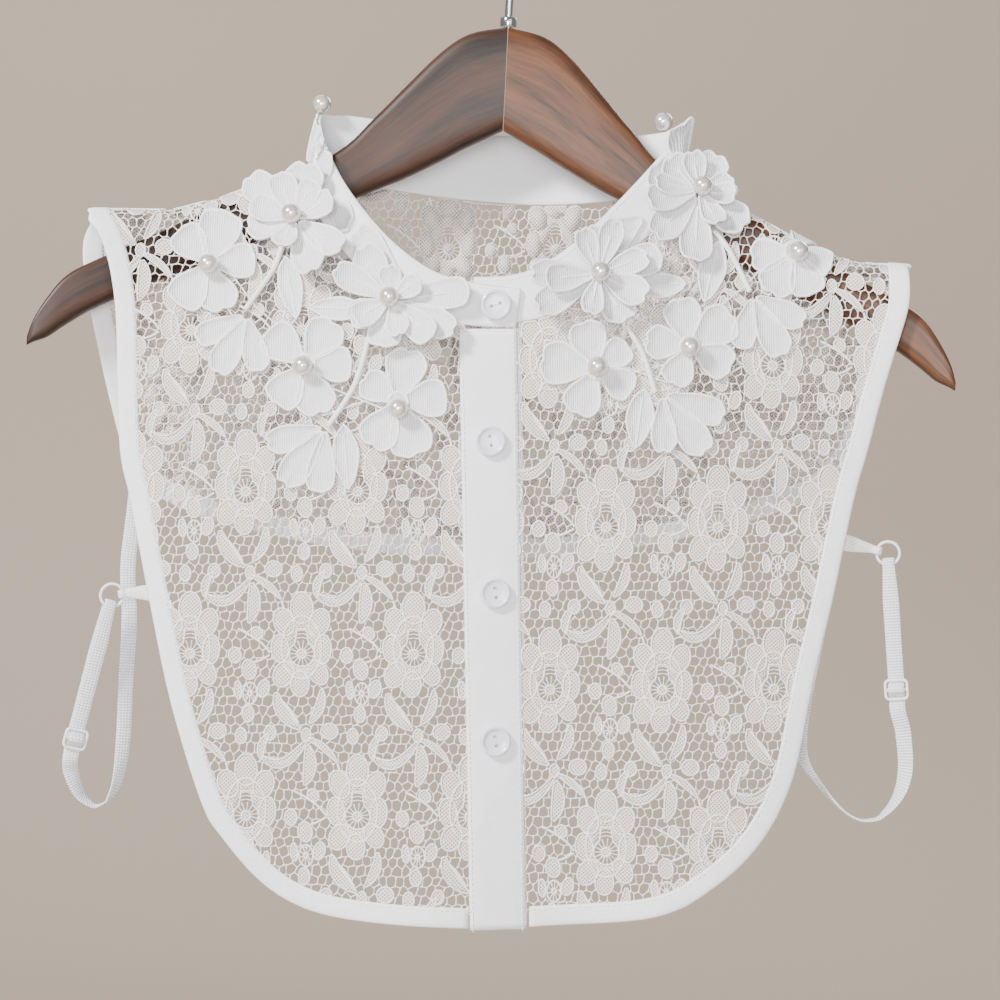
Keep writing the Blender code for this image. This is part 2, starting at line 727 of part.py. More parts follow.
def leaf_outline(x, z, length, width, turn):
    """A pointed leaf."""
    axis = Vector((math.cos(math.radians(turn)), math.sin(math.radians(turn))))
    beside = Vector((-axis.y, axis.x))
    shape = ((-0.5, 0.0), (-0.28, 0.36), (0.05, 0.5), (0.32, 0.32), (0.5, 0.0),
             (0.32, -0.32), (0.05, -0.5), (-0.28, -0.36))
    return [tuple(Vector((x, z)) + axis * (u * length) + beside * (v * width)) for u, v in shape]


def stem_outline(x0, z0, x1, z1):
    along = Vector((x1 - x0, z1 - z0)).normalized()
    beside = Vector((-along.y, along.x)) * STEM_WIDTH / 2
    start = Vector((x0, z0)) - along
    end = Vector((x1, z1)) + along
    return [tuple(p) for p in (start - beside, end - beside, end + beside, start + beside)]


def applique(name, group, neck, turned_by, surface):
    """One piece of heavy lace: all its motifs, joined flat and laid over the panel."""
    side = group["side"]
    shapes = [petal_outline(*values) for values in group["flowers"]]
    shapes += [leaf_outline(*values) for values in group["leaves"]]
    shapes += [stem_outline(*values) for values in group["stems"]]
    shapes = [flat(shape) for shape in shapes]
    fence = inward(neck, NECK_CLEARANCE * turned_by)
    fence += [(fence[-1][0], SKY), (fence[0][0], SKY)]
    middles = [(values[0], level_of(values[0], values[1])) for values in group["flowers"]]

    def keep(point):
        return not inside(point, fence) and any(inside(point, shape) for shape in shapes)

    xs = [x for shape in shapes for x, _ in shape]
    lowest = min(level for shape in shapes for _, level in shape)
    extra = [point for point in grid_points(min(xs), max(xs), lowest) if keep(point)]
    points, faces = triangulate(shapes + [fence], middles + extra, keep, roll_lines(min(xs), max(xs)))
    obj = cloth_mesh(name, points, faces, side, APPLIQUE_LIFT, surface)
    thick = obj.vertex_groups.new(name="thick")
    for index, point in enumerate(points):
        near = min(math.dist(point, middle) for middle in middles)
        thick.add([index], 1.0 if near < MIDDLE_REACH else APPLIQUE_RIM, "REPLACE")
    solidify(obj, APPLIQUE_THICK, offset=1.0, group="thick")
    return obj


def frame_of(x, y, z, pitch, yaw):
    """Origin and axes of a raised flower: across, up and out toward the viewer."""
    p = math.radians(pitch)
    w = math.radians(yaw)
    out = Vector((math.sin(w) * math.cos(p), -math.cos(w) * math.cos(p), math.sin(p)))
    across = Vector((0.0, 0.0, 1.0)).cross(out).normalized() * -1
    up = out.cross(across) * -1
    return Vector((x, y, z)), across, up, out


def tier(name, flower, level, surface):
    """One cupped ring of petals."""
    f = row(TIER_COLUMNS, flower)
    origin, across, up, out = frame_of(f["x"], f["y"], f["z"], f["pitch"], f["yaw"])
    radius = f["radius"] * TIER_SCALE[level]
    rim = petal_outline(0.0, 0.0, radius, 5, f["turn"] + TIER_TWIST * level, TIER_NOTCH)
    rings = (0.5, 1.0)
    points = [origin + out * TIER_RISE[level]]
    for share in rings:
        rise = TIER_RISE[level] + TIER_CUP[level] * share ** 2
        points += [origin + across * (u * share) + up * (v * share) + out * rise for u, v in rim]
    count = len(rim)
    faces = [(0, 1 + i, 1 + (i + 1) % count) for i in range(count)]
    faces += [(1 + i, 1 + count + i, 1 + count + (i + 1) % count, 1 + (i + 1) % count) for i in range(count)]
    obj = mesh_object(name, points, faces, surface)
    solidify(obj, TIER_THICK, offset=0.0)
    return obj


def pearl(name, centre, surface):
    bpy.ops.mesh.primitive_uv_sphere_add(segments=PEARL_SEGMENTS, ring_count=PEARL_RINGS,
                                         radius=PEARL_RADIUS * MM, location=Vector(centre) * MM)
    obj = bpy.context.object
    obj.name = name
    for owner in list(obj.users_collection):
        owner.objects.unlink(obj)
    obj.data.shade_smooth()
    return place(obj, surface)


def turned(name, profile, sides, surface, parent=None):
    """A solid turned about its own Z from a profile of radius and height."""
    points = [(radius, 0.0, height) for radius, height in profile]
    edges = [(i, i + 1) for i in range(len(points) - 1)]
    if profile[0][0] > 0:
        edges.append((len(points) - 1, 0))
    mesh = bpy.data.meshes.new(name)
    mesh.from_pydata([Vector(point) * MM for point in points], edges, [])
    obj = place(bpy.data.objects.new(name, mesh), surface, parent)
    screw = obj.modifiers.new("turn", "SCREW")
    screw.steps = sides
    screw.render_steps = sides
    screw.use_merge_vertices = True
    screw.merge_threshold = 0.00001
    screw.use_normal_calculate = True
    return obj


def hanger_arm(name, mirror, parent, surface):
    """One arm, skinned over rounded sections."""
    points = []
    for values in ARM_STATIONS:
        s = row(ARM_COLUMNS, values)
        middle = (s["top"] + s["bottom"]) / 2
        for index in range(ARM_SIDES):
            angle = math.tau * index / ARM_SIDES * -mirror
            across = math.copysign(abs(math.cos(angle)) ** ARM_ROUNDING, math.cos(angle))
            upward = math.copysign(abs(math.sin(angle)) ** ARM_ROUNDING, math.sin(angle))
            points.append((
                s["reach"] * mirror,
                arm_depth(s["reach"]) + across * s["thick"] / 2,
                middle + upward * (s["top"] - s["bottom"]) / 2,
            ))
    faces = []
    last = (len(ARM_STATIONS) - 1) * ARM_SIDES
    for station in range(len(ARM_STATIONS) - 1):
        for index in range(ARM_SIDES):
            a = station * ARM_SIDES + index
            b = station * ARM_SIDES + (index + 1) % ARM_SIDES
            faces.append((a, a + ARM_SIDES, b + ARM_SIDES, b))
    faces.append(tuple(range(ARM_SIDES)))
    faces.append(tuple(last + i for i in reversed(range(ARM_SIDES))))
    return mesh_object(name, points, faces, surface, parent)


def wire(name, points, radius, surface, parent=None):
    """A round wire with closed ends."""
    data = bpy.data.curves.new(name, "CURVE")
    data.dimensions = "3D"
    data.bevel_depth = radius * MM
    data.bevel_resolution = 1
    data.use_fill_caps = True
    line = data.splines.new("POLY")
    line.points.add(len(points) - 1)
    for target, point in zip(line.points, points):
        target.co = (*(Vector(point) * MM), 1.0)
    return place(bpy.data.objects.new(name, data), surface, parent)


def hook_route():
    """Shank, swan neck and bow of the hook."""
    bow_middle = HOOK_WIRE - HOOK_BOW
    route = [(0.0, 0.0, HOOK_FOOT), (0.0, 0.0, -60.0), (1.0, 0.0, -52.0), (9.0, 0.0, -45.0),
             (17.5, 0.0, -39.0)]
    for degrees in range(-20, 201, 20):
        angle = math.radians(degrees)
        route.append((HOOK_BOW * math.cos(angle), 0.0, bow_middle + HOOK_BOW * math.sin(angle)))
    return resample(smooth(route, 4), 7.0)


def local_axes(side):
    """Origin and axes at a ring: down the strap, toward the viewer, across the strap."""
    ring = Vector(side["ring"])
    down = (Vector(side["slider"]) - ring)
    down.y = 0.0
    down.normalize()
    yaw = math.radians(side["yaw"])
    across = Vector((down.z * -1, 0.0, down.x)) * math.cos(yaw) + Vector((0.0, 1.0, 0.0)) * math.sin(yaw)
    out = across.cross(down).normalized()
    if out.y > 0:
        out = -out
    return ring, down, out, across


def ring_piece(name, side, surface):
    """A plastic ring: a torus standing in the strap's plane."""
    bpy.ops.mesh.primitive_torus_add(major_radius=RING_RADIUS * MM, minor_radius=RING_WIRE * MM,
                                     major_segments=RING_SEGMENTS, minor_segments=RING_SIDES)
    obj = bpy.context.object
    obj.name = name
    for owner in list(obj.users_collection):
        owner.objects.unlink(obj)
    ring, _, out, _ = local_axes(side)
    obj.location = ring * MM
    obj.rotation_euler = out.to_track_quat("Z", "Y").to_euler()
    obj.data.shade_smooth()
    return place(obj, surface)


def slider_centre(side):
    """Where the slider's middle bar lies: out of the ring's plane by the strap's weave."""
    ring, down, out, _ = local_axes(side)
    reach = (Vector(side["slider"]) - ring).dot(down)
    return ring + down * reach + out * (turn_radius() + STRAP_WEAVE)


def turn_radius():
    """Half the distance between the strap's two layers as it turns through the ring."""
    return RING_WIRE + SEAM_GAP + RING_CLEAR + STRAP_THICK / 2


def slider_piece(name, side, surface):
    """A plastic slider: a frame with a middle bar."""
    centre = slider_centre(side)
    _, down, _, across = local_axes(side)
    outer_w = SLIDER_HALF_WIDTH + SLIDER_BAR
    inner_w = SLIDER_HALF_WIDTH - SLIDER_BAR
    outer_h = SLIDER_PITCH + SLIDER_BAR
    bar = SLIDER_BAR
    loops = [
        [(-outer_w, -outer_h), (outer_w, -outer_h), (outer_w, outer_h), (-outer_w, outer_h)],
        [(-inner_w, bar), (inner_w, bar), (inner_w, SLIDER_PITCH - bar), (-inner_w, SLIDER_PITCH - bar)],
        [(-inner_w, bar - SLIDER_PITCH), (inner_w, bar - SLIDER_PITCH), (inner_w, -bar), (-inner_w, -bar)],
    ]

    def keep(point):
        return not inside(point, loops[1]) and not inside(point, loops[2])

    flat_points, faces = triangulate(loops, [], keep)
    points = [centre + across * u + down * v for u, v in flat_points]
    obj = mesh_object(name, points, faces, surface)
    solidify(obj, SLIDER_BAR * 2)
    return obj


def ribbon(name, stations, thickness, surface):
    """A flat strap from rows of centre, direction across and width."""
    edges = []
    for index, (centre, across, width) in enumerate(stations):
        before = stations[max(index - 1, 0)][0]
        after = stations[min(index + 1, len(stations) - 1)][0]
        along = (after - before).normalized()
        square = (across - along * across.dot(along)).normalized()
        edges.append((centre - square * width / 2, centre + square * width / 2))
    return strip(name, edges, thickness, surface)


def strap_route(side):
    """The elastic's main stretch: from the ring, through the slider, round the loop to the back."""
    ring, down, out, across = local_axes(side)
    centre = slider_centre(side)
    turn = turn_radius()
    ring_seat = RING_RADIUS - RING_INSET
    reach = (centre - ring).dot(down)
    stations = []
    for degrees in (8, 35, 62, 90):
        angle = math.radians(degrees)
        stations.append((ring + down * (ring_seat - turn * math.cos(angle)) + out * turn * math.sin(angle),
                         across, STRAP_RING_WIDTH))
    near = reach - 2 * SLIDER_PITCH
    for index in range(1, 7):
        share = index / 6
        width = STRAP_RING_WIDTH + (STRAP_WIDTH - STRAP_RING_WIDTH) * min(1.0, share * 3)
        stations.append((ring + down * (ring_seat + (near - ring_seat) * share) + out * turn, across, width))
    for step in (-1.0, -0.75, -0.5, -0.25, 0.0, 0.25, 0.5, 0.75, 1.0):
        offset = STRAP_WEAVE * math.cos(math.pi * step)
        stations.append((centre + down * (SLIDER_PITCH * step) + out * offset, across, STRAP_WIDTH))
    route = [tuple(centre + down * (SLIDER_PITCH * 2.2)) + (side["yaw"],)] + list(side["route"])
    for x, y, z, yaw in resample(smooth(route, 6), STRAP_STEP):
        facing = math.radians(yaw)
        stations.append((Vector((x, y, z)), Vector((math.cos(facing), math.sin(facing), 0.0)), STRAP_WIDTH))
    return stations


def strap_return_route(side):
    """The doubled layer: from the ring back down to the slider's middle bar."""
    ring, down, out, across = local_axes(side)
    centre = slider_centre(side)
    turn = turn_radius()
    ring_seat = RING_RADIUS - RING_INSET
    reach = (centre - ring).dot(down)
    stations = []
    for degrees in (-8, -35, -62, -90):
        angle = math.radians(degrees)
        stations.append((ring + down * (ring_seat - turn * math.cos(angle)) + out * turn * math.sin(angle),
                         across, STRAP_RING_WIDTH))
    top = reach - SLIDER_PITCH * 2
    behind = turn - STRAP_THICK - SEAM_GAP
    for index in range(1, 6):
        share = index / 5
        width = STRAP_RING_WIDTH + (STRAP_WIDTH - STRAP_RING_WIDTH) * min(1.0, share * 3)
        depth = -turn + (behind + turn) * share
        stations.append((ring + down * (ring_seat + (top - ring_seat) * share) + out * depth, across, width))
    under = ((-1.0, -STRAP_WEAVE - STRAP_THICK - SEAM_GAP), (-0.4, -STRAP_WEAVE * 1.5), (0.0, -STRAP_WEAVE))
    for step, offset in under:
        stations.append((centre + down * (SLIDER_PITCH * step) + out * offset, across, STRAP_WIDTH))
    return stations


def tab_route(side):
    """The satin tab: out from the bound edge, round the ring and back."""
    ring, _, out, _ = local_axes(side)
    end = Vector(side["tab_end"])
    toward = end - ring
    toward = (toward - out * toward.dot(out)).normalized()
    across = out.cross(toward).normalized()
    turn = RING_WIRE + SEAM_GAP + RING_CLEAR + TAB_THICK / 2
    flat_turn = TAB_THICK / 2 + SEAM_GAP / 2
    seat = ring + toward * (RING_RADIUS - TAB_SLACK)
    clear = seat + toward * TAB_CLEAR
    layers = []
    for direction in (1, -1):
        run = []
        for share in (1.0, 0.66, 0.33, 0.0):
            width = TAB_RING_WIDTH + (TAB_WIDTH - TAB_RING_WIDTH) * min(1.0, share * 1.6)
            depth = turn + (flat_turn - turn) * share
            run.append((clear.lerp(end, share) + out * depth * direction, across, width))
        run.append((seat + out * turn * direction, across, TAB_RING_WIDTH))
        layers.append(run)
    bend = []
    for degrees in (60, 30, 0, -30, -60):
        angle = math.radians(degrees)
        bend.append((seat - toward * turn * math.cos(angle) + out * turn * math.sin(angle),
                     across, TAB_RING_WIDTH))
    return layers[0] + bend + layers[1][::-1]


# The scene is emptied, and the model's collections and materials are made.
for old in list(bpy.data.objects):
    bpy.data.objects.remove(old)
collection = bpy.data.collections.new("lace_collar")
bpy.context.scene.collection.children.link(collection)
cutters = bpy.data.collections.new("cutters")
bpy.context.scene.collection.children.link(cutters)

WOOD = material("walnut", (0.13, 0.045, 0.02), 0.4)
METAL = material("chromed_wire", (0.75, 0.75, 0.77), 0.2, 1.0)
LACE = material("lace", (0.82, 0.76, 0.73), 0.85)
COTTON = material("cotton", (0.88, 0.89, 0.92), 0.8)
GUIPURE = material("guipure", (0.9, 0.9, 0.92), 0.85)
PEARL = material("pearl", (0.86, 0.84, 0.78), 0.15)
BUTTON = material("button", (0.74, 0.74, 0.86), 0.3)
SATIN = material("satin", (0.87, 0.87, 0.9), 0.35)
ELASTIC = material("elastic", (0.82, 0.85, 0.9), 0.7)
PLASTIC = material("plastic", (0.85, 0.86, 0.88), 0.3)

# Hanger.
hanger = bpy.data.objects.new("hanger", None)
collection.objects.link(hanger)
hanger.rotation_euler = (0.0, HANGER_TILT, 0.0)
hanger_arm("hanger_arm_left", -1, hanger, WOOD)
hanger_arm("hanger_arm_right", 1, hanger, WOOD)
wire("hanger_hook", hook_route(), HOOK_WIRE, METAL, hanger)
ferrule = turned("hanger_ferrule", (
    (HOOK_WIRE + SEAM_GAP, FERRULE_HEIGHT), (FERRULE_RADIUS - 0.5, FERRULE_HEIGHT),
    (FERRULE_RADIUS, FERRULE_HEIGHT - 0.5), (FERRULE_RADIUS, 0.0), (HOOK_WIRE + SEAM_GAP, 0.0),
), 14, METAL, hanger)
ferrule.location = (0.0, 0.0, (ARM_STATIONS[0][1] + SEAM_GAP) * MM)

# Bound edges of the front.
front_left = edge_curve(FRONT_LEFT_EDGE, EDGE_STEP)
front_right = edge_curve(FRONT_RIGHT_EDGE, EDGE_STEP)
binding("binding_left", front_left, -1, COTTON, 1)
binding("binding_right", front_right, -1, COTTON, -1)

# Bound edge of the back: down the left side, along the gathered hem and up the right side.
back_left = edge_curve(BACK_LEFT_EDGE, EDGE_STEP)
back_right = edge_curve(BACK_RIGHT_EDGE, EDGE_STEP)
back_hem = resample(flat(smooth(BACK_HEM_EDGE, 4)), PUCKER_PITCH / 2)
hem_top = inward(back_hem, BINDING_WIDTH)
for end, side_edge, turned_by in ((0, back_left, 1), (-1, back_right, -1)):
    corner_x, corner_level = inner_edge(side_edge, BINDING_WIDTH * turned_by)[-1]
    hem_top[end] = (corner_x, corner_level - HEM_JOIN)
binding("binding_back_left", back_left, 1, COTTON, 1)
binding("binding_back_right", back_right, 1, COTTON, -1)
hem_rows = []
for index, (low, high) in enumerate(zip(back_hem, hem_top)):
    pucker = PUCKER_DEPTH * (1 if index % 2 else -1)
    hem_rows.append((cloth(*low, 1, pucker), cloth(*high, 1, pucker)))
strip("binding_back_hem", hem_rows, BINDING_THICK, COTTON)

# Neckline of each panel, from the stand's table, front to neck point.
neck_left = neckline(1, LEFT_POINT, 1)
neck_right = neckline(RIGHT_POINT, 19, 1)[::-1]
neck_back = neckline(LEFT_POINT, RIGHT_POINT, -1)


def placket_x(ends, z):
    """The placket edge's x at a height."""
    share = (PLACKET_TOP - z) / (PLACKET_TOP - PLACKET_FOOT)
    return ends[0] + (ends[1] - ends[0]) * share


def shoulder_run(start, end):
    """Points of the shoulder line between two ends, on the panels' grid columns."""
    low, high = min(start, end), max(start, end)
    columns = [x for x in grid_columns(low, high) if low + 2.0 < x < high - 2.0]
    return [(x, crest(x) - SHOULDER_GAP) for x in (columns if start < end else columns[::-1])]


def front_outline(bound, turned_by, ends, neck):
    """Outline of a front panel: bound edge, placket edge, neckline, shoulder."""
    outward = -turned_by
    edge = inner_edge(bound, (BINDING_WIDTH + PANEL_GAP) * turned_by)
    down = [point for point in edge[:-1] if (point[0] - ends[1]) * outward > 3.0]
    foot_z = down[-1][1] - 0.3
    rim = sorted(neck)
    rim_z = between(rim, ends[0] + outward * SEAM_GAP)
    rise = []
    for index in range(PLACKET_ROWS):
        z = foot_z + (rim_z - foot_z) * index / (PLACKET_ROWS - 1)
        rise.append((placket_x(ends, z) + outward * (SEAM_GAP + 0.1), z))
    collar_edge = [point for point in neck if (point[0] - rise[-1][0]) * outward > 2.0]
    return down + rise + collar_edge + shoulder_run(collar_edge[-1][0], edge[0][0])


panel("front_left_lace", front_outline(front_left, 1, OVER_LEFT, neck_left),
      FLOWER_ORIGIN["front_left"], -1, LACE)
panel("front_right_lace", front_outline(front_right, -1, UNDER_RIGHT, neck_right),
      FLOWER_ORIGIN["front_right"], -1, LACE)


def back_outline():
    """Outline of the back panel: left side, hem, right side, shoulder and neckline."""
    reach = BINDING_WIDTH + PANEL_GAP
    left = inner_edge(back_left, reach)
    right = inner_edge(back_right, -reach)
    rail = back_left + back_hem + back_right[::-1]
    whole = left + inward(back_hem, reach)[::3] + right[::-1]
    fence = rail + rail[-2:0:-1]
    edge = [point for point in whole[1:-1] if away(point, fence) > reach - 0.05]
    edge = [left[0]] + edge + [right[0]]
    return edge + shoulder_run(edge[-1][0], neck_back[-1][0]) + neck_back[::-1] + shoulder_run(
        neck_back[0][0], edge[0][0])


panel("back_lace", back_outline(), FLOWER_ORIGIN["back"], 1, LACE)


def placket(name, left, right, thickness, out):
    """A strip of the placket, laid on the front."""
    rows = []
    for index in range(PLACKET_ROWS):
        z = PLACKET_TOP + (PLACKET_FOOT - PLACKET_TOP) * index / (PLACKET_ROWS - 1)
        ends = (placket_x(left, z), placket_x(right, z))
        rows.append([cloth(x, level_of(x, z), -1, out) for x in (ends[0], sum(ends) / 2, ends[1])])
    return strip(name, rows, thickness, COTTON)


placket("placket_over", OVER_LEFT, OVER_RIGHT, OVER_THICK, OVER_OUT)
placket("placket_under", UNDER_LEFT, UNDER_RIGHT, UNDER_THICK, UNDER_OUT)

# Collar stand.
stand_top = smooth([values[3:6] for values in STAND_ROWS], STAND_STEPS)
stand_rows = []
for (x, level, out, side), top in zip(stand_seam(), stand_top):
    stand_rows.append((cloth(x, level, side, out), Vector(top)))
strip("collar_stand", stand_rows, STAND_THICK, COTTON)

# Buttons, turned and then drilled for their thread.
for number, values in enumerate(BUTTONS, start=1):
    b = row(BUTTON_COLUMNS, values)
    button = turned(f"button_{number}", BUTTON_PROFILE, BUTTON_SIDES, BUTTON)
    seat = OVER_OUT + OVER_THICK / 2 + BUTTON_SEAT
    base = cloth(b["x"], b["z"], -1, seat)
    beside = cloth(b["x"] + 1, b["z"], -1, seat) - base
    above = cloth(b["x"], b["z"] + 1, -1, seat) - base
    facing = beside.cross(above).normalized()
    button.location = (base + facing * b["seat"]) * MM
    spin = Quaternion((0, 0, 1), math.radians(b["turn"]))
    button.rotation_euler = (facing.to_track_quat("Z", "Y") @ spin).to_euler()
    for direction in (-1, 1):
        bpy.ops.mesh.primitive_cylinder_add(vertices=HOLE_SIDES, radius=HOLE_RADIUS * MM,
                                            depth=HOLE_DEPTH * MM)
        drill = bpy.context.object
        drill.name = f"button_hole_{number}_{direction}"
        for owner in list(drill.users_collection):
            owner.objects.unlink(drill)
        cutters.objects.link(drill)
        drill.parent = button
        drill.location = (direction * HOLE_SPREAD * MM, 0.0, 0.0)
        drill.hide_render = True
        drill.display_type = "WIRE"
        cut = button.modifiers.new("hole", "BOOLEAN")
        cut.operation = "DIFFERENCE"
        cut.object = drill

# Appliqued lace with its lying pearls.
applique("applique_left", APPLIQUE["applique_left"], neck_left, 1, GUIPURE)
applique("applique_right", APPLIQUE["applique_right"], neck_right, -1, GUIPURE)
applique("applique_back_left", APPLIQUE["applique_back_left"], neck_back, -1, GUIPURE)
applique("applique_back_right", APPLIQUE["applique_back_right"], neck_back, -1, GUIPURE)
for name, (side, x, z) in LYING_PEARLS.items():
    rise = APPLIQUE_LIFT + APPLIQUE_THICK + PEARL_SEAT + PEARL_RADIUS
    pearl(name, cloth(x, level_of(x, z), side, rise), PEARL)

# Raised flowers, each with its pearl, and the pearls on the collar's crest.
for name, values in RAISED_FLOWERS.items():
    tier(name + "_lower", values, 0, GUIPURE)
    tier(name + "_upper", values, 1, GUIPURE)
    f = row(TIER_COLUMNS, values)
    origin, _, _, outward = frame_of(f["x"], f["y"], f["z"], f["pitch"], f["yaw"])
    rise = TIER_RISE[1] + TIER_THICK / 2 + PEARL_SEAT + PEARL_RADIUS
    pearl(name.replace("flower", "pearl"), origin + outward * rise, PEARL)
for name, station in CREST_PEARLS.items():
    pearl(name, Vector(stand_top[station]) + Vector((0.0, 0.0, PEARL_RADIUS + PEARL_SEAT)), PEARL)

# Straps.
for side_name, side in STRAPS.items():
    ring_piece(f"ring_{side_name}", side, PLASTIC)
    slider_piece(f"slider_{side_name}", side, PLASTIC)
    ribbon(f"strap_{side_name}", strap_route(side), STRAP_THICK, ELASTIC)
    ribbon(f"strap_return_{side_name}", strap_return_route(side), STRAP_THICK, ELASTIC)
    ribbon(f"strap_tab_{side_name}", tab_route(side), TAB_THICK, SATIN)
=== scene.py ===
"""Detachable lace collar on a shaped wooden hanger, finished over its solid frame.

The file follows the making: the camera, the elastic straps, the hanger, the cotton edges,
stand and placket, the lace panels, the heavy lace flowers, then buttons, pearls and stitches.
Sizes are millimetres in the tables and metres in the meshes.
"""
import math
import random

import bmesh
import bpy
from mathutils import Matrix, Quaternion, Vector


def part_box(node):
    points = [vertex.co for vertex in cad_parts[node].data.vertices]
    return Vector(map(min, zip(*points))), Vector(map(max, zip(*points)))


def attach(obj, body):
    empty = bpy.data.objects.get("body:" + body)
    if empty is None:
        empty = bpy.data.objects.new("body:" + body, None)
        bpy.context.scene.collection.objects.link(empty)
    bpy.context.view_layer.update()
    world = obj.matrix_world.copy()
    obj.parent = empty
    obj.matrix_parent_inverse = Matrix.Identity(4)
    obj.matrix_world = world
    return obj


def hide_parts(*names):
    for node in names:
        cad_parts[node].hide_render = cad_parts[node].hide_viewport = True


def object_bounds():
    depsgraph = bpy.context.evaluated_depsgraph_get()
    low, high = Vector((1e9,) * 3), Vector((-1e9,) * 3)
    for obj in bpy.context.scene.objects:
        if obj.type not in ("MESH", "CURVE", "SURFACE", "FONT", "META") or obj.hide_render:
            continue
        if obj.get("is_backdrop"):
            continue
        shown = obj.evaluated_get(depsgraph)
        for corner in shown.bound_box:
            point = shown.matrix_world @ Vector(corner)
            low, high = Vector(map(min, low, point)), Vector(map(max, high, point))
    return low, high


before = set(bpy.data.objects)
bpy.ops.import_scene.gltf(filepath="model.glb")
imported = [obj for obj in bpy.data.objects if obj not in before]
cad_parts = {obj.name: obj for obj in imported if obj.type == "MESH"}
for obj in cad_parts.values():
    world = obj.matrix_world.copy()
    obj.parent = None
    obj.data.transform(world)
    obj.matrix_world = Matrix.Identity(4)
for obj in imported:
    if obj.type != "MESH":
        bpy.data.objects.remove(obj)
solid_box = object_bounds()

# Camera: level with the middle of the collar and straight in front of it, at a distance of
# 1.3 metres, where its long lens takes in 420 mm across the picture.
lens = bpy.data.cameras.new("camera")
lens.sensor_width = 36.0
lens.lens = 111.43
viewer = bpy.data.objects.new("camera", lens)
viewer.location = (-0.007, -1.335, -0.274)
viewer.rotation_euler = (math.pi / 2, 0.0, 0.0)
bpy.context.scene.collection.objects.link(viewer)
bpy.context.scene.camera = viewer

# Side straps: white ribbed elastic, 6.8 mm wide, doubled through a ring at the front edge and
# through a slider, then round a hanging loop and up behind to the lower corner of the back.
# A short satin tab sewn under the front's bound edge holds each ring.
MM = 0.001
SEAM_GAP = 0.3
STRAP_WIDTH = 6.8
STRAP_THICK = 1.0
STRAP_RING_WIDTH = 5.0
STRAP_WEAVE = 1.75
STRAP_STEP = 8.5
TAB_WIDTH = 6.6
TAB_RING_WIDTH = 3.4
TAB_THICK = 0.8
TAB_SLACK = 0.45
TAB_CLEAR = 2.6
RING_RADIUS = 4.9
RING_WIRE = 0.65
RING_CLEAR = 0.1
RING_INSET = 1.0
SLIDER_FRAME_RADIUS = 0.63
SLIDER_PITCH = 4.0
SLIDER_HALF_WIDTH = 4.6
SLIDER_CORNER = 1.6
SLIDER_BAR_RADIUS = 0.36
SLIDER_BAR_HALF = 0.3
SLIDER_BAR_CORNER = 0.28
SLIDER_BAR_INSET = 0.2
FLAT_SECTION = (
    (-0.5, 0.0), (-0.47, 0.3), (-0.4, 0.5), (0.0, 0.5), (0.4, 0.5), (0.47, 0.3),
    (0.5, 0.0), (0.47, -0.3), (0.4, -0.5), (0.0, -0.5), (-0.4, -0.5), (-0.47, -0.3),
)
# A route's points are x, y, z and the yaw of the strap's width.
STRAPS = {
    "left": {
        "ring": (-171.0, -27.0, -314.3),
        "slider": (-187.0, -30.0, -374.5),
        "yaw": 20.0,
        "tab_end": (-151.5, -32.2, -313.0),
        "route": (
            (-188.3, -28.0, -388.0, 28.0), (-184.5, -24.0, -399.0, 60.0), (-177.0, -20.0, -404.0, 84.0),
            (-170.6, -18.0, -396.0, 60.0), (-167.6, -17.0, -378.0, 34.0), (-166.4, -16.0, -350.0, 26.0),
            (-165.0, -15.0, -325.0, 20.0), (-166.0, -12.0, -303.0, 20.0), (-164.5, -8.0, -285.0, 20.0),
            (-163.2, -5.6, -270.0, 20.0), (-163.4, -5.1, -257.0, 20.0),
        ),
    },
    "right": {
        "ring": (157.0, -27.0, -296.5),
        "slider": (160.8, -30.0, -353.9),
        "yaw": -12.0,
        "tab_end": (136.2, -30.6, -291.5),
        "route": (
            (163.0, -28.5, -371.0, -14.0), (164.3, -27.0, -388.0, -30.0), (160.5, -25.0, -401.0, -60.0),
            (151.0, -22.0, -410.0, -86.0), (140.0, -20.0, -407.0, -84.0), (129.0, -19.0, -395.0, -70.0),
            (121.5, -18.0, -382.0, -50.0), (122.5, -15.0, -362.0, -30.0), (130.0, -11.0, -325.0, -18.0),
            (136.5, -6.0, -290.0, -17.0), (139.0, -2.9, -272.0, -17.0), (140.2, -2.1, -257.0, -17.0),
        ),
    },
}


def smooth(points, steps):
    """Catmull-Rom curve through points of any dimension."""
    count = len(points)
    curve = []
    for index in range(count - 1):
        a = points[max(index - 1, 0)]
        b = points[index]
        c = points[index + 1]
        d = points[min(index + 2, count - 1)]
        for step in range(steps):
            t = step / steps
            curve.append(tuple(
                0.5 * (2 * q + (r - p) * t + (2 * p - 5 * q + 4 * r - s) * t * t
                       + (3 * q - p - 3 * r + s) * t ** 3)
                for p, q, r, s in zip(a, b, c, d)
            ))
    curve.append(tuple(points[-1]))
    return curve


def resample(points, step):
    """Points at even steps along a curve, ends kept."""
    lengths = [0.0]
    for first, second in zip(points, points[1:]):
        lengths.append(lengths[-1] + math.dist(first, second))
    count = max(1, round(lengths[-1] / step))
    made = []
    at = 0
    for index in range(count + 1):
        goal = lengths[-1] * index / count
        while at < len(lengths) - 2 and lengths[at + 1] < goal:
            at += 1
        span = lengths[at + 1] - lengths[at]
        t = (goal - lengths[at]) / span if span else 0.0
        made.append(tuple(p + (q - p) * t for p, q in zip(points[at], points[at + 1])))
    return made


def linear(code):
    """A colour written as sRGB hex, as linear light."""
    made = []
    for start in (1, 3, 5):
        value = int(code[start:start + 2], 16) / 255
        made.append(value / 12.92 if value <= 0.04045 else ((value + 0.055) / 1.055) ** 2.4)
    return (*made, 1.0)


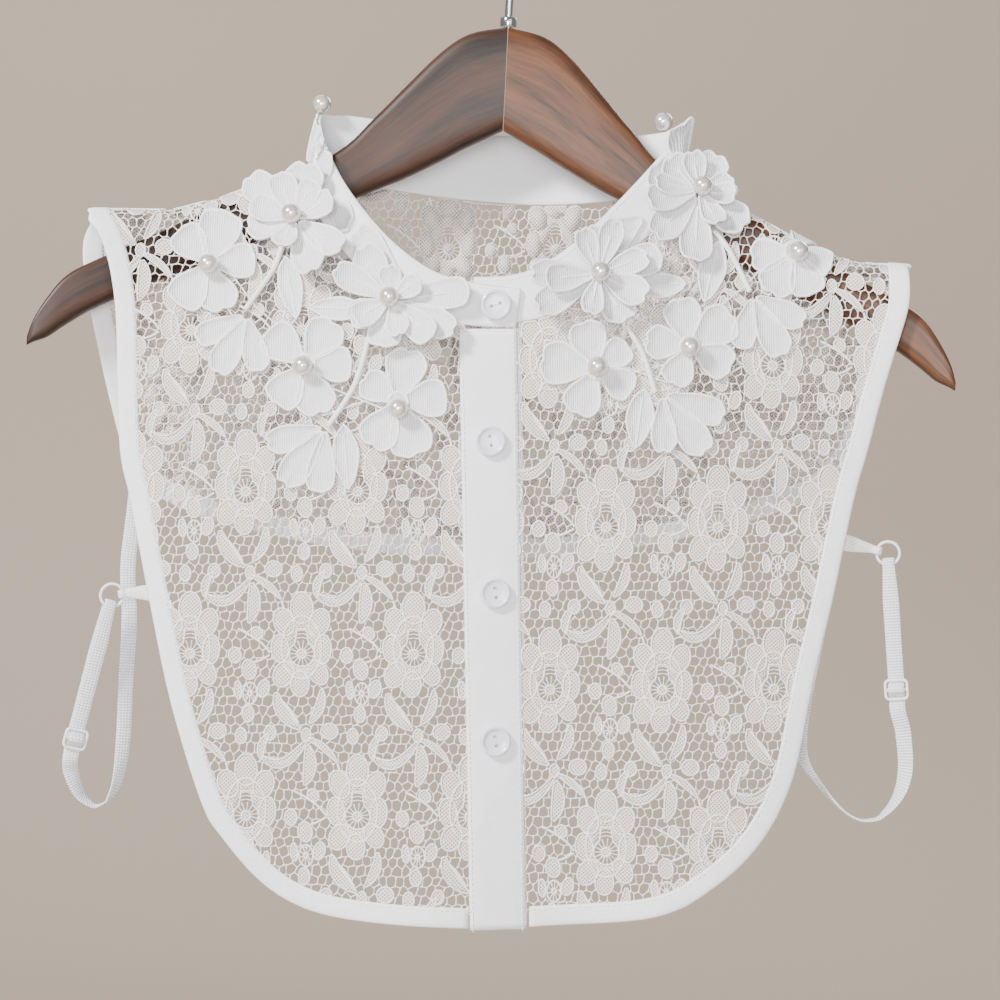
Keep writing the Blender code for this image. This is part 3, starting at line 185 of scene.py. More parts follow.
def add(tree, kind, values=(), links=(), **settings):
    """Adds a node with its settings, values and incoming links."""
    node = tree.nodes.new(kind)
    for name, value in settings.items():
        setattr(node, name, value)
    for name, value in values:
        node.inputs[name].default_value = value
    for name, source in links:
        tree.links.new(source, node.inputs[name])
    return node


def surface(name, color, roughness, values=()):
    """A material with its shader's plain values, and the node tree to add detail in."""
    made = bpy.data.materials.new(name)
    made.use_nodes = True
    shader = made.node_tree.nodes["Principled BSDF"]
    shader.inputs["Base Color"].default_value = linear(color)
    shader.inputs["Roughness"].default_value = roughness
    for key, value in values:
        shader.inputs[key].default_value = value
    return made, made.node_tree, shader


def tinted(tree, shader, factor, first, second):
    """Base colour between two colours by a pattern."""
    mix = add(tree, "ShaderNodeMix", values=((6, linear(first)), (7, linear(second))),
              links=((0, factor),), data_type="RGBA")
    tree.links.new(mix.outputs[2], shader.inputs["Base Color"])


def raised(tree, shader, height, depth, strength=1.0, under=None):
    """Bump of a depth in millimetres, over another bump where one is given."""
    links = [("Height", height)]
    if under:
        links.append(("Normal", under.outputs["Normal"]))
    bump = add(tree, "ShaderNodeBump", values=(("Strength", strength), ("Distance", depth * MM)),
               links=links)
    tree.links.new(bump.outputs["Normal"], shader.inputs["Normal"])
    return bump


def shell(name, points, faces, uvs, surfaces, slots=None):
    """A closed mesh from points in millimetres, with its faces turned outward."""
    mesh = bpy.data.meshes.new(name)
    mesh.from_pydata([Vector(point) * MM for point in points], [], faces)
    for each in surfaces:
        mesh.materials.append(each)
    if slots:
        mesh.polygons.foreach_set("material_index", slots)
    layer = mesh.uv_layers.new(name="cloth")
    for loop in mesh.loops:
        u, v = uvs[loop.vertex_index]
        layer.data[loop.index].uv = (u * MM, v * MM)
    form = bmesh.new()
    form.from_mesh(mesh)
    bmesh.ops.recalc_face_normals(form, faces=form.faces)
    form.to_mesh(mesh)
    form.free()
    mesh.shade_smooth()
    obj = bpy.data.objects.new(name, mesh)
    bpy.context.scene.collection.objects.link(obj)
    return obj


def loft(loops, across):
    """Points, faces and UVs of a closed skin over loops of points, with capped ends."""
    sides = len(loops[0])
    points = [point for loop in loops for point in loop]
    uvs = []
    along = 0.0
    for index, loop in enumerate(loops):
        if index:
            along += (Vector(loop[0]) - Vector(loops[index - 1][0])).length
        uvs += [(along, v) for v in across]
    faces = []
    for ring in range(len(loops) - 1):
        for side in range(sides):
            a = ring * sides + side
            b = ring * sides + (side + 1) % sides
            faces.append((a, b, b + sides, a + sides))
    faces.append(tuple(range(sides)))
    faces.append(tuple((len(loops) - 1) * sides + side for side in range(sides)))
    return points, faces, uvs


def ribbon(name, stations, thickness, finish):
    """A flat band with rounded edges along rows of centre, direction across and width."""
    fine = smooth([(*centre, *across, width) for centre, across, width in stations], 3)
    loops = []
    for index, values in enumerate(fine):
        centre = Vector(values[:3])
        across = Vector(values[3:6])
        before = Vector(fine[max(index - 1, 0)][:3])
        after = Vector(fine[min(index + 1, len(fine) - 1)][:3])
        along = (after - before).normalized()
        square = (across - along * across.dot(along)).normalized()
        out = square.cross(along)
        loops.append([centre + square * (u * values[6]) + out * (v * thickness) for u, v in FLAT_SECTION])
    points, faces, uvs = loft(loops, [u * STRAP_WIDTH for u, _ in FLAT_SECTION])
    return shell(name, points, faces, uvs, [finish]), [Vector(values[:3]) for values in fine]


def local_axes(side):
    """Origin and axes at a ring: down the strap, toward the viewer, across the strap."""
    ring = Vector(side["ring"])
    down = Vector(side["slider"]) - ring
    down.y = 0.0
    down.normalize()
    yaw = math.radians(side["yaw"])
    across = Vector((-down.z, 0.0, down.x)) * math.cos(yaw) + Vector((0.0, 1.0, 0.0)) * math.sin(yaw)
    out = across.cross(down).normalized()
    if out.y > 0:
        out = -out
    return ring, down, out, across


TURN_RADIUS = RING_WIRE + SEAM_GAP + RING_CLEAR + STRAP_THICK / 2
RING_SEAT = RING_RADIUS - RING_INSET


def slider_centre(side):
    """The middle of the slider's bar, and how far it lies down the strap."""
    ring, down, out, _ = local_axes(side)
    reach = (Vector(side["slider"]) - ring).dot(down)
    return ring + down * reach + out * (TURN_RADIUS + STRAP_WEAVE), reach


def round_ring(side, degrees):
    """Stations where a layer of the strap turns through the ring."""
    ring, down, out, across = local_axes(side)
    made = []
    for angle in (math.radians(value) for value in degrees):
        place = ring + down * (RING_SEAT - TURN_RADIUS * math.cos(angle))
        place += out * TURN_RADIUS * math.sin(angle)
        made.append((place, across, STRAP_RING_WIDTH))
    return made


def strap_stations(side):
    """The main stretch: from the ring, through the slider, round the loop to the back."""
    ring, down, out, across = local_axes(side)
    centre, reach = slider_centre(side)
    stations = round_ring(side, (8, 35, 62, 90))
    near = reach - 2 * SLIDER_PITCH
    for index in range(1, 7):
        share = index / 6
        width = STRAP_RING_WIDTH + (STRAP_WIDTH - STRAP_RING_WIDTH) * min(1.0, share * 3)
        place = ring + down * (RING_SEAT + (near - RING_SEAT) * share) + out * TURN_RADIUS
        stations.append((place, across, width))
    for index in range(-4, 5):
        step = index / 4
        offset = STRAP_WEAVE * math.cos(math.pi * step)
        stations.append((centre + down * (SLIDER_PITCH * step) + out * offset, across, STRAP_WIDTH))
    route = [(*(centre + down * (SLIDER_PITCH * 2.2)), side["yaw"]), *side["route"]]
    for x, y, z, yaw in resample(smooth(route, 6), STRAP_STEP):
        facing = math.radians(yaw)
        stations.append((Vector((x, y, z)), Vector((math.cos(facing), math.sin(facing), 0.0)), STRAP_WIDTH))
    return stations


def return_stations(side):
    """The doubled layer: from the ring back down to the slider's middle bar."""
    ring, down, out, across = local_axes(side)
    centre, reach = slider_centre(side)
    stations = round_ring(side, (-8, -35, -62, -90))
    top = reach - SLIDER_PITCH * 2
    behind = TURN_RADIUS - STRAP_THICK - SEAM_GAP
    for index in range(1, 6):
        share = index / 5
        width = STRAP_RING_WIDTH + (STRAP_WIDTH - STRAP_RING_WIDTH) * min(1.0, share * 3)
        depth = -TURN_RADIUS + (behind + TURN_RADIUS) * share
        place = ring + down * (RING_SEAT + (top - RING_SEAT) * share) + out * depth
        stations.append((place, across, width))
    under = ((-1.0, -STRAP_WEAVE - STRAP_THICK - SEAM_GAP), (-0.4, -STRAP_WEAVE * 1.5), (0.0, -STRAP_WEAVE))
    for step, offset in under:
        stations.append((centre + down * (SLIDER_PITCH * step) + out * offset, across, STRAP_WIDTH))
    return stations


def tab_stations(side):
    """The satin tab: out from the bound edge, round the ring and back."""
    ring, _, out, _ = local_axes(side)
    end = Vector(side["tab_end"])
    toward = end - ring
    toward = (toward - out * toward.dot(out)).normalized()
    across = out.cross(toward).normalized()
    turn = RING_WIRE + SEAM_GAP + RING_CLEAR + TAB_THICK / 2
    flat_turn = TAB_THICK / 2 + SEAM_GAP / 2
    seat = ring + toward * (RING_RADIUS - TAB_SLACK)
    clear = seat + toward * TAB_CLEAR
    layers = []
    for direction in (1, -1):
        run = []
        for share in (1.0, 0.66, 0.33, 0.0):
            width = TAB_RING_WIDTH + (TAB_WIDTH - TAB_RING_WIDTH) * min(1.0, share * 1.6)
            depth = turn + (flat_turn - turn) * share
            run.append((clear.lerp(end, share) + out * depth * direction, across, width))
        run.append((seat + out * turn * direction, across, TAB_RING_WIDTH))
        layers.append(run)
    bend = []
    for angle in (math.radians(value) for value in (60, 30, 0, -30, -60)):
        place = seat - toward * turn * math.cos(angle) + out * turn * math.sin(angle)
        bend.append((place, across, TAB_RING_WIDTH))
    return layers[0] + bend + layers[1][::-1]


# Knitted elastic: dull, with fine ribs across and a few cords along.
elastic, tree, shader = surface("knitted_elastic", "#eef1f6", 0.78, (("Sheen Weight", 0.15),))
cloth_uv = add(tree, "ShaderNodeUVMap", uv_map="cloth")
ribs = add(tree, "ShaderNodeTexWave", values=(("Scale", 262.0), ("Distortion", 0.4)),
           links=(("Vector", cloth_uv.outputs["UV"]),), bands_direction="X")
cords = add(tree, "ShaderNodeTexWave", values=(("Scale", 230.0),),
            links=(("Vector", cloth_uv.outputs["UV"]),), bands_direction="Y")
tinted(tree, shader, ribs.outputs["Color"], "#c9d0dc", "#f6f8fb")
over = raised(tree, shader, ribs.outputs["Fac"], 0.22)
raised(tree, shader, cords.outputs["Fac"], 0.1, under=over)

# Satin ribbon: smooth floats of thread with a soft shine.
satin, tree, shader = surface("satin_ribbon", "#f0f0f4", 0.32, (("Sheen Weight", 0.3),))
cloth_uv = add(tree, "ShaderNodeUVMap", uv_map="cloth")
floats = add(tree, "ShaderNodeTexWave", values=(("Scale", 300.0), ("Distortion", 1.5), ("Detail", 2.0)),
             links=(("Vector", cloth_uv.outputs["UV"]),), bands_direction="DIAGONAL")
tinted(tree, shader, floats.outputs["Color"], "#dfe1e8", "#f8f8fa")
raised(tree, shader, floats.outputs["Fac"], 0.06)

# Moulded nylon: milky, with a low gloss.
nylon, tree, shader = surface("milky_nylon", "#eef0f3", 0.28, (("IOR", 1.53), ("Subsurface Weight", 0.2)))
shader.inputs["Subsurface Radius"].default_value = (0.001, 0.001, 0.001)
place = add(tree, "ShaderNodeTexCoord")
haze = add(tree, "ShaderNodeTexNoise", values=(("Scale", 900.0), ("Detail", 3.0)),
           links=(("Vector", place.outputs["Object"]),))
tinted(tree, shader, haze.outputs["Fac"], "#e4e8ee", "#f6f7f9")
raised(tree, shader, haze.outputs["Fac"], 0.02)


def circle_of(centre, first, second, radius, count):
    """A closed round of points in a plane."""
    return [centre + first * radius * math.cos(math.tau * i / count)
            + second * radius * math.sin(math.tau * i / count) for i in range(count)]


def closed_tube(name, path, radius, sides, finish):
    """A tube round a closed path of points."""
    count = len(path)
    points = []
    uvs = []
    middle = sum(path, Vector()) / count
    for index, point in enumerate(path):
        along = (path[(index + 1) % count] - path[index - 1]).normalized()
        outward = point - middle
        outward = (outward - along * outward.dot(along)).normalized()
        points += circle_of(point, outward, along.cross(outward), radius, sides)
        uvs += [(index, side) for side in range(sides)]
    faces = []
    for ring in range(count):
        for side in range(sides):
            a = ring * sides
            b = (ring + 1) % count * sides
            faces.append((a + side, a + (side + 1) % sides, b + (side + 1) % sides, b + side))
    return shell(name, points, faces, uvs, [finish])


def joined(name, objects):
    """Several new objects made one."""
    form = bmesh.new()
    finishes = []
    for obj in objects:
        before = len(form.faces)
        form.from_mesh(obj.data)
        form.faces.ensure_lookup_table()
        finishes += [each for each in obj.data.materials if each not in finishes]
        for face in form.faces[before:]:
            face.material_index = finishes.index(obj.data.materials[face.material_index])
            face.smooth = True
    mesh = bpy.data.meshes.new(name)
    form.to_mesh(mesh)
    form.free()
    for each in finishes:
        mesh.materials.append(each)
    for obj in objects:
        bpy.data.objects.remove(obj)
    made = bpy.data.objects.new(name, mesh)
    bpy.context.scene.collection.objects.link(made)
    return made


def slider_loop(centre, across, down, half_wide, half_tall, corner):
    """A rounded rectangle in the slider's plane."""
    path = []
    for u, v, start in ((1, 1, 0), (-1, 1, 90), (-1, -1, 180), (1, -1, 270)):
        for degrees in (0, 30, 60, 90):
            angle = math.radians(start + degrees)
            path.append(centre + across * (u * (half_wide - corner) + corner * math.cos(angle))
                        + down * (v * half_tall - v * corner + corner * math.sin(angle)))
    return path


def placed(piece, node):
    """Lets a finished piece stand for its solid and ride with it."""
    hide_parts(node)
    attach(piece, "root")


for side_name, side in STRAPS.items():
    ring, down, _, across = local_axes(side)
    middle, _ = slider_centre(side)
    strap, path = ribbon(f"elastic_strap_{side_name}", strap_stations(side), STRAP_THICK, elastic)
    layer, _ = ribbon(f"elastic_return_{side_name}", return_stations(side), STRAP_THICK, elastic)
    tab, _ = ribbon(f"satin_tab_{side_name}", tab_stations(side), TAB_THICK, satin)
    hoop = closed_tube(f"nylon_ring_{side_name}", circle_of(ring, across, down, RING_RADIUS, 36),
                       RING_WIRE, 10, nylon)
    outer = slider_loop(middle, across, down, SLIDER_HALF_WIDTH, SLIDER_PITCH, SLIDER_CORNER)
    bar = slider_loop(middle, across, down, SLIDER_HALF_WIDTH - SLIDER_BAR_INSET, SLIDER_BAR_HALF,
                      SLIDER_BAR_CORNER)
    slider = joined(f"nylon_slider_{side_name}", [
        closed_tube("slider_frame", outer, SLIDER_FRAME_RADIUS, 10, nylon),
        closed_tube("slider_bar", bar, SLIDER_BAR_RADIUS, 8, nylon),
    ])
    placed(strap, f"strap_{side_name}")
    placed(layer, f"strap_return_{side_name}")
    placed(tab, f"strap_tab_{side_name}")
    placed(hoop, f"ring_{side_name}")
    placed(slider, f"slider_{side_name}")
    run = sum((b - a).length for a, b in zip(path, path[1:])) * MM
    [tuple(point * MM) for point in path]

# Hanger: two arms of walnut-stained hardwood, shaped on a spindle moulder, jointed at the
# middle and varnished, with a chromed steel hook screwed in through a small ferrule.
HANGER_TILT = math.radians(2.85)
ARM_REACH = 200.0
ARM_SWEEP = 30.0
ARM_SWEEP_POWER = 2.2
# Arm sections: distance from the middle, top, bottom and thickness.
ARM_STATIONS = (
    (0.15, -70.5, -115.0, 13.0), (16.0, -74.0, -123.5, 13.0), (28.0, -82.5, -130.5, 13.0),
    (42.0, -97.5, -138.0, 13.0), (55.0, -112.0, -144.0, 12.5), (72.0, -129.0, -152.5, 12.5),
    (110.0, -149.0, -171.5, 12.0), (150.0, -170.5, -191.0, 12.0), (170.0, -181.0, -201.5, 11.5),
    (181.0, -188.0, -209.0, 10.0), (188.0, -197.0, -214.5, 8.5), (193.5, -207.0, -217.0, 6.5),
    (196.0, -214.5, -218.5, 3.5),
)
ARM_SIDES = 32
ARM_ROUNDING = 0.5
HOOK_WIRE = 1.7
HOOK_BOW = 24.0
HOOK_FOOT = -70.0
HOOK_STEP = 2.5
FERRULE_RADIUS = 3.6
FERRULE_HEIGHT = 4.2


def tilted(x, z):
    """Where the hanger's tilt takes a point of the level hanger."""
    return (x * math.cos(HANGER_TILT) + z * math.sin(HANGER_TILT),
            z * math.cos(HANGER_TILT) - x * math.sin(HANGER_TILT))


def arm_depth(reach):
    """How far the hanger sweeps toward the viewer along an arm."""
    return -ARM_SWEEP * (abs(reach) / ARM_REACH) ** ARM_SWEEP_POWER


def wood(name, dark, light, turn):
    """Varnished walnut stain: long grain, fine open pores and a satin coat."""
    made, tree, shader = surface(name, light, 0.5, (("Specular IOR Level", 0.35), ("Coat Weight", 0.12),
                                                  ("Coat Roughness", 0.3)))
    grain_uv = add(tree, "ShaderNodeUVMap", uv_map="cloth")
    bent = add(tree, "ShaderNodeMapping", links=(("Vector", grain_uv.outputs["UV"]),),
               values=(("Rotation", (0.0, 0.0, turn)), ("Scale", (7.0, 150.0, 1.0))))
    grain = add(tree, "ShaderNodeTexNoise", values=(("Scale", 1.6), ("Detail", 6.0), ("Roughness", 0.62),
                ("Distortion", 0.5)), links=(("Vector", bent.outputs["Vector"]),))
    fine = add(tree, "ShaderNodeMapping", links=(("Vector", grain_uv.outputs["UV"]),),
               values=(("Rotation", (0.0, 0.0, turn)), ("Scale", (70.0, 1700.0, 1.0))))
    pores = add(tree, "ShaderNodeTexNoise", values=(("Scale", 1.0), ("Detail", 3.0)),
                links=(("Vector", fine.outputs["Vector"]),))
    both = add(tree, "ShaderNodeMath", values=((1, 0.35),), links=((0, pores.outputs["Fac"]),
               (2, grain.outputs["Fac"])), operation="MULTIPLY_ADD")
    spread = add(tree, "ShaderNodeMapRange", values=(("From Min", 0.48), ("From Max", 0.88)),
                 links=(("Value", both.outputs["Value"]),))
    tinted(tree, shader, spread.outputs["Result"], dark, light)
    raised(tree, shader, pores.outputs["Fac"], 0.05, 0.6)
    return made


# One walnut for both arms: the left arm's colours are painted darker as painted shade and the right arm's
# lighter as painted light, for the key lamp on the left.
walnut_painted_shade_left = wood("walnut_stain_painted_shade_left", "#110804", "#422413", 0.05)
walnut_painted_light_right = wood("walnut_stain_painted_light_right", "#1f1007", "#6d4226", -0.08)


def hanger_arm(name, mirror, finish):
    """One arm, skinned over rounded sections, then tilted with the whole hanger."""
    loops = []
    for reach, top, bottom, thick in smooth(ARM_STATIONS, 5):
        loop = []
        for index in range(ARM_SIDES):
            angle = math.tau * index / ARM_SIDES
            across = math.copysign(abs(math.cos(angle)) ** ARM_ROUNDING, math.cos(angle))
            upward = math.copysign(abs(math.sin(angle)) ** ARM_ROUNDING, math.sin(angle))
            x, z = tilted(reach * mirror, (top + bottom) / 2 + upward * (top - bottom) / 2)
            loop.append((x, arm_depth(reach) + across * thick / 2, z))
        loops.append(loop)
    around = [0.0]
    middle = loops[len(loops) // 2]
    for a, b in zip(middle, middle[1:]):
        around.append(around[-1] + math.dist(a, b))
    arm = shell(name, *loft(loops, around), [finish])
    arm.data.set_sharp_from_angle(angle=math.radians(60))
    return arm


placed(hanger_arm("hanger_arm_walnut_left", -1, walnut_painted_shade_left), "hanger_arm_left")
placed(hanger_arm("hanger_arm_walnut_right", 1, walnut_painted_light_right), "hanger_arm_right")

# Chromed wire: a mirror finish with the faint waves of drawn wire.
chrome, tree, shader = surface("chromed_wire", "#c9cacd", 0.14, (("Metallic", 1.0),))
place = add(tree, "ShaderNodeTexCoord")
drawn = add(tree, "ShaderNodeTexNoise", values=(("Scale", 160.0), ("Detail", 2.0)),
            links=(("Vector", place.outputs["Object"]),))
tinted(tree, shader, drawn.outputs["Fac"], "#b9babd", "#d6d7da")
raised(tree, shader, drawn.outputs["Fac"], 0.02, 0.5)


def maker_tree(name, sockets):
    """An empty node tree with a geometry in and out and its named inputs."""
    tree = bpy.data.node_groups.new(name, "GeometryNodeTree")
    tree.interface.new_socket("Geometry", in_out="INPUT", socket_type="NodeSocketGeometry")
    for label, kind in sockets:
        tree.interface.new_socket(label, in_out="INPUT", socket_type=kind)
    tree.interface.new_socket("Geometry", in_out="OUTPUT", socket_type="NodeSocketGeometry")
    return tree, add(tree, "NodeGroupInput")


def finished(tree, given, source):
    """Ends a node tree with real geometry in the given finish."""
    real = add(tree, "GeometryNodeRealizeInstances", links=(("Geometry", source),))
    dressed = add(tree, "GeometryNodeSetMaterial",
                  links=(("Geometry", real.outputs["Geometry"]), ("Material", given.outputs["Finish"])))
    add(tree, "NodeGroupOutput", links=(("Geometry", dressed.outputs["Geometry"]),))


def thread_tree():
    """Node tree that turns edges into round threads, thicker at their knots."""
    tree, given = maker_tree("round_thread", (
        ("Radius", "NodeSocketFloat"), ("Knot", "NodeSocketFloat"), ("Sides", "NodeSocketInt"),
        ("Finish", "NodeSocketMaterial")))
    line = add(tree, "GeometryNodeMeshToCurve", links=(("Mesh", given.outputs["Geometry"]),))
    along = add(tree, "GeometryNodeSplineParameter")
    signed = add(tree, "ShaderNodeMath", values=((1, 2.0), (2, -1.0)),
                 links=((0, along.outputs["Factor"]),), operation="MULTIPLY_ADD")
    ends = add(tree, "ShaderNodeMath", links=((0, signed.outputs["Value"]), (1, signed.outputs["Value"])),
               operation="MULTIPLY")
    grown = add(tree, "ShaderNodeMath", values=((2, 1.0),),
                links=((0, ends.outputs["Value"]), (1, given.outputs["Knot"])), operation="MULTIPLY_ADD")
    round_one = add(tree, "GeometryNodeCurvePrimitiveCircle",
                    links=(("Resolution", given.outputs["Sides"]), ("Radius", given.outputs["Radius"])))
    tube = add(tree, "GeometryNodeCurveToMesh", values=(("Fill Caps", True),),
               links=(("Curve", line.outputs["Curve"]), ("Profile Curve", round_one.outputs["Curve"]),
                      ("Scale", grown.outputs["Value"])))
    finished(tree, given, tube.outputs["Mesh"])
    return tree


THREAD_TREE = thread_tree()


def grown_mesh(name, points, edges, tree, inputs):
    """The mesh that a node tree makes from edges, with the tree's inputs by name."""
    source = bpy.data.meshes.new(name)
    source.from_pydata([Vector(point) * MM for point in points], edges, [])
    obj = bpy.data.objects.new(name, source)
    bpy.context.scene.collection.objects.link(obj)
    maker = obj.modifiers.new("maker", "NODES")
    maker.node_group = tree
    keys = {item.name: item.identifier for item in tree.interface.items_tree
            if item.in_out == "INPUT"}
    for label, value in inputs.items():
        maker[keys[label]] = value
    graph = bpy.context.evaluated_depsgraph_get()
    graph.update()
    made = bpy.data.meshes.new_from_object(obj.evaluated_get(graph))
    bpy.data.objects.remove(obj)
    made.shade_smooth()
    return made


def strung(lines, closed=False):
    """The points and edges of lines."""
    points = []
    edges = []
    for line in lines:
        start = len(points)
        points += line
        edges += [(start + i, start + i + 1) for i in range(len(line) - 1)]
        if closed:
            edges.append((start + len(line) - 1, start))
    return points, edges


def threads(name, lines, radius, sides, finish, knot=0.0, closed=False):
    """Round threads along lines of points."""
    return grown_mesh(name, *strung(lines, closed), THREAD_TREE,
                      {"Radius": radius * MM, "Knot": knot, "Sides": sides, "Finish": finish})


def object_of(name, mesh):
    """An object for a finished mesh."""
    made = bpy.data.objects.new(name, mesh)
    bpy.context.scene.collection.objects.link(made)
    return made


bow_middle = HOOK_WIRE - HOOK_BOW
hook_line = [(0.0, 0.0, HOOK_FOOT), (0.0, 0.0, -60.0), (1.0, 0.0, -52.0), (9.0, 0.0, -45.0),
             (17.5, 0.0, -39.0)]
for degrees in range(-20, 201, 20):
    angle = math.radians(degrees)
    hook_line.append((HOOK_BOW * math.cos(angle), 0.0, bow_middle + HOOK_BOW * math.sin(angle)))
hook_line = [(tilted(x, z)[0], y, tilted(x, z)[1])
             for x, y, z in resample(smooth(hook_line, 6), HOOK_STEP)]
hook = object_of("hanger_hook_wire", threads("hanger_hook_wire", [hook_line], HOOK_WIRE, 20, chrome))
placed(hook, "hanger_hook")

ferrule_profile = (
    (HOOK_WIRE + 0.15, FERRULE_HEIGHT - 0.2), (HOOK_WIRE + 0.5, FERRULE_HEIGHT), (2.9, FERRULE_HEIGHT),
    (3.4, FERRULE_HEIGHT - 0.3), (FERRULE_RADIUS, FERRULE_HEIGHT - 0.9), (FERRULE_RADIUS, 0.5),
    (3.4, 0.0), (HOOK_WIRE + 0.15, 0.0),
)


def lathe(profile, sides, put):
    """Points, faces and UVs of a profile turned right round, placed by put."""
    count = len(profile)
    points = []
    uvs = []
    for side in range(sides):
        angle = math.tau * side / sides
        for step, (radius, height) in enumerate(profile):
            points.append(put(radius * math.cos(angle), radius * math.sin(angle), height))
            uvs.append((radius * angle, step))
    faces = []
    for side in range(sides):
        a = side * count
        b = (side + 1) % sides * count
        faces += [(a + step, b + step, b + (step + 1) % count, a + (step + 1) % count)
                  for step in range(count)]
    return points, faces, uvs


def on_hanger(x, y, z):
    """A point of the ferrule, on top of the joint between the arms."""
    turned_x, turned_z = tilted(x, z + ARM_STATIONS[0][1] + SEAM_GAP)
    return turned_x, y, turned_z


ferrule = shell("hanger_ferrule_collar", *lathe(ferrule_profile, 32, on_hanger), [chrome])
ferrule.data.set_sharp_from_angle(angle=math.radians(40))
placed(ferrule, "hanger_ferrule")

# Bound edges: straight-grain cotton strips, folded over the raw lace and topstitched. The
# cloth rolls over the hanger's arms and swells away from them, so every cloth piece is laid
# from flat coordinates: x, and a level that equals height below the roll.
WALL = 1.0
REST_GAP = 0.55
SHOULDER_GAP = 0.4
ROLL_RADIUS = 10.5
ROLL_ARC = ROLL_RADIUS * math.pi / 2
SWELL_FALL = 45.0
# Depth at the middle and what is added to it at the sides.
FRONT_SWELL = (-41.0, 9.0)
BACK_SWELL = (27.0, -34.0)
SWELL_HALF_WIDTH = 170.0
MIDDLE_X = -8.0
# Height of the hem's wave, the fall at which it is reached, and the wave's length.
HEM_WAVE = (2.0, 250.0, 120.0)
# How far the shoulder line stands above the arm, by x.
SHOULDER_LIFT = (
    (-190.0, 27.0), (-182.0, 22.0), (-160.0, 12.0), (-147.0, 6.0), (-128.0, 2.0),
    (-110.0, 0.3), (-95.0, 0.0), (85.0, 0.0), (110.0, 0.6), (128.0, 1.5),
    (140.0, 4.0), (152.0, 9.0), (166.0, 17.0), (174.0, 22.0),
)
FRONT_LEFT_EDGE = (
    (-180.5, -156.0), (-176.0, -162.0), (-172.0, -174.0), (-169.5, -189.0), (-168.5, -205.0),
    (-167.0, -252.0), (-162.5, -274.0), (-154.0, -318.0), (-145.0, -360.0), (-132.0, -402.0),
    (-123.5, -416.0), (-110.0, -432.0), (-96.5, -442.0), (-80.0, -448.0), (-56.0, -451.0),
    (-20.2, -453.0),
)
FRONT_RIGHT_EDGE = (
    (165.5, -178.0), (165.0, -193.0), (158.5, -215.0), (153.5, -232.0), (148.0, -253.0),
    (142.0, -274.0), (132.5, -318.0), (125.0, -349.0), (118.5, -382.0), (113.0, -399.0),
    (105.0, -414.0), (94.0, -427.0), (80.0, -438.0), (66.0, -446.0), (46.0, -450.5),
    (5.2, -453.0),
)
BACK_LEFT_EDGE = (
    (-182.0, -156.0), (-185.0, -163.0), (-185.0, -175.0), (-181.5, -198.0), (-177.0, -220.0),
    (-170.5, -248.0),
)
BACK_RIGHT_EDGE = (
    (167.5, -179.0), (167.5, -190.0), (161.5, -210.0), (155.0, -231.0), (148.5, -250.0),
)
BACK_HEM_EDGE = (
    (-170.2, -249.6), (-166.0, -259.5), (-157.0, -271.0), (-137.0, -281.0), (-111.0, -288.5),
    (-81.0, -294.5), (-50.0, -298.0), (-11.0, -300.0), (28.0, -298.0), (63.0, -293.0),
    (98.0, -284.5), (124.0, -275.0), (138.5, -265.5), (148.2, -251.6),
)
BINDING_WIDTH = 8.6
BINDING_THICK = 2.0
BINDING_SEAM = 1.3
BINDING_RIPPLE = (0.07, 9.0)
EDGE_STEP = 2.6
# Section of a folded strip: share of its width and of its half thickness.
BAND_SECTION = (
    (0.0, 0.0), (0.03, 0.6), (0.1, 0.95), (0.3, 1.0), (0.7, 0.98), (0.9, 0.9), (0.97, 0.55), (1.0, 0.0),
    (0.97, -0.55), (0.9, -0.9), (0.7, -1.0), (0.3, -1.0), (0.1, -0.95), (0.03, -0.6),
)


def between(rows, x):
    """Linear value in a table of two columns."""
    if x <= rows[0][0]:
        return rows[0][1]
    for (x0, value0), (x1, value1) in zip(rows, rows[1:]):
        if x <= x1:
            return value0 + (value1 - value0) * (x - x0) / (x1 - x0)
    return rows[-1][1]


def hanger_line(height):
    """World x with a height or depth, along the tilted hanger's top edge."""
    line = []
    for reach, top, _, _ in ARM_STATIONS:
        for signed in (-reach, reach):
            x, z = tilted(signed, top)
            line.append((x, z if height else arm_depth(reach)))
    return sorted(line)


HANGER_TOP = hanger_line(True)
HANGER_DEPTH = hanger_line(False)


def ridge(x):
    """Height of the cloth's middle where it crosses the shoulder line."""
    return between(HANGER_TOP, x) + REST_GAP + WALL / 2 + between(SHOULDER_LIFT, x)


def crest(x):
    """Level of the shoulder line, with the roll over the arm laid flat."""
    return ridge(x) - ROLL_RADIUS + ROLL_ARC


def level_of(x, z):
    """Level of a point of the cloth seen at height z."""
    fall = max(0.0, ridge(x) - z)
    if fall >= ROLL_RADIUS:
        return z
    return crest(x) - ROLL_RADIUS * math.acos(1 - fall / ROLL_RADIUS)


def cloth(x, level, side, out=0.0):
    """A point of the cloth: side -1 is the front and 1 the back, out is away from the wearer."""
    drop = crest(x) - level
    turn = max(0.0, min(drop / ROLL_RADIUS, math.pi / 2))
    top = between(HANGER_DEPTH, x)
    y = top + side * ROLL_RADIUS * math.sin(turn)
    z = ridge(x) - ROLL_RADIUS * (1 - math.cos(turn))
    if drop > ROLL_ARC:
        fall = drop - ROLL_ARC
        depth, spread = FRONT_SWELL if side < 0 else BACK_SWELL
        low = depth + spread * ((x - MIDDLE_X) / SWELL_HALF_WIDTH) ** 2
        y += (low - (top + side * ROLL_RADIUS)) * (1 - math.exp(-fall / SWELL_FALL))
        size, reach, pitch = HEM_WAVE
        y += size * (fall / reach) ** 2 * math.sin(2 * math.pi * x / pitch + 0.6)
        z -= fall
    return Vector((x, y + side * out * math.sin(turn), z + out * math.cos(turn)))


def inward(points, distance):
    """A flat curve moved sideways to its left-hand side."""
    moved = []
    for index, (x, level) in enumerate(points):
        before = points[max(index - 1, 0)]
        after = points[min(index + 1, len(points) - 1)]
        along = Vector((after[0] - before[0], after[1] - before[1])).normalized()
        moved.append((x - along.y * distance, level + along.x * distance))
    return moved


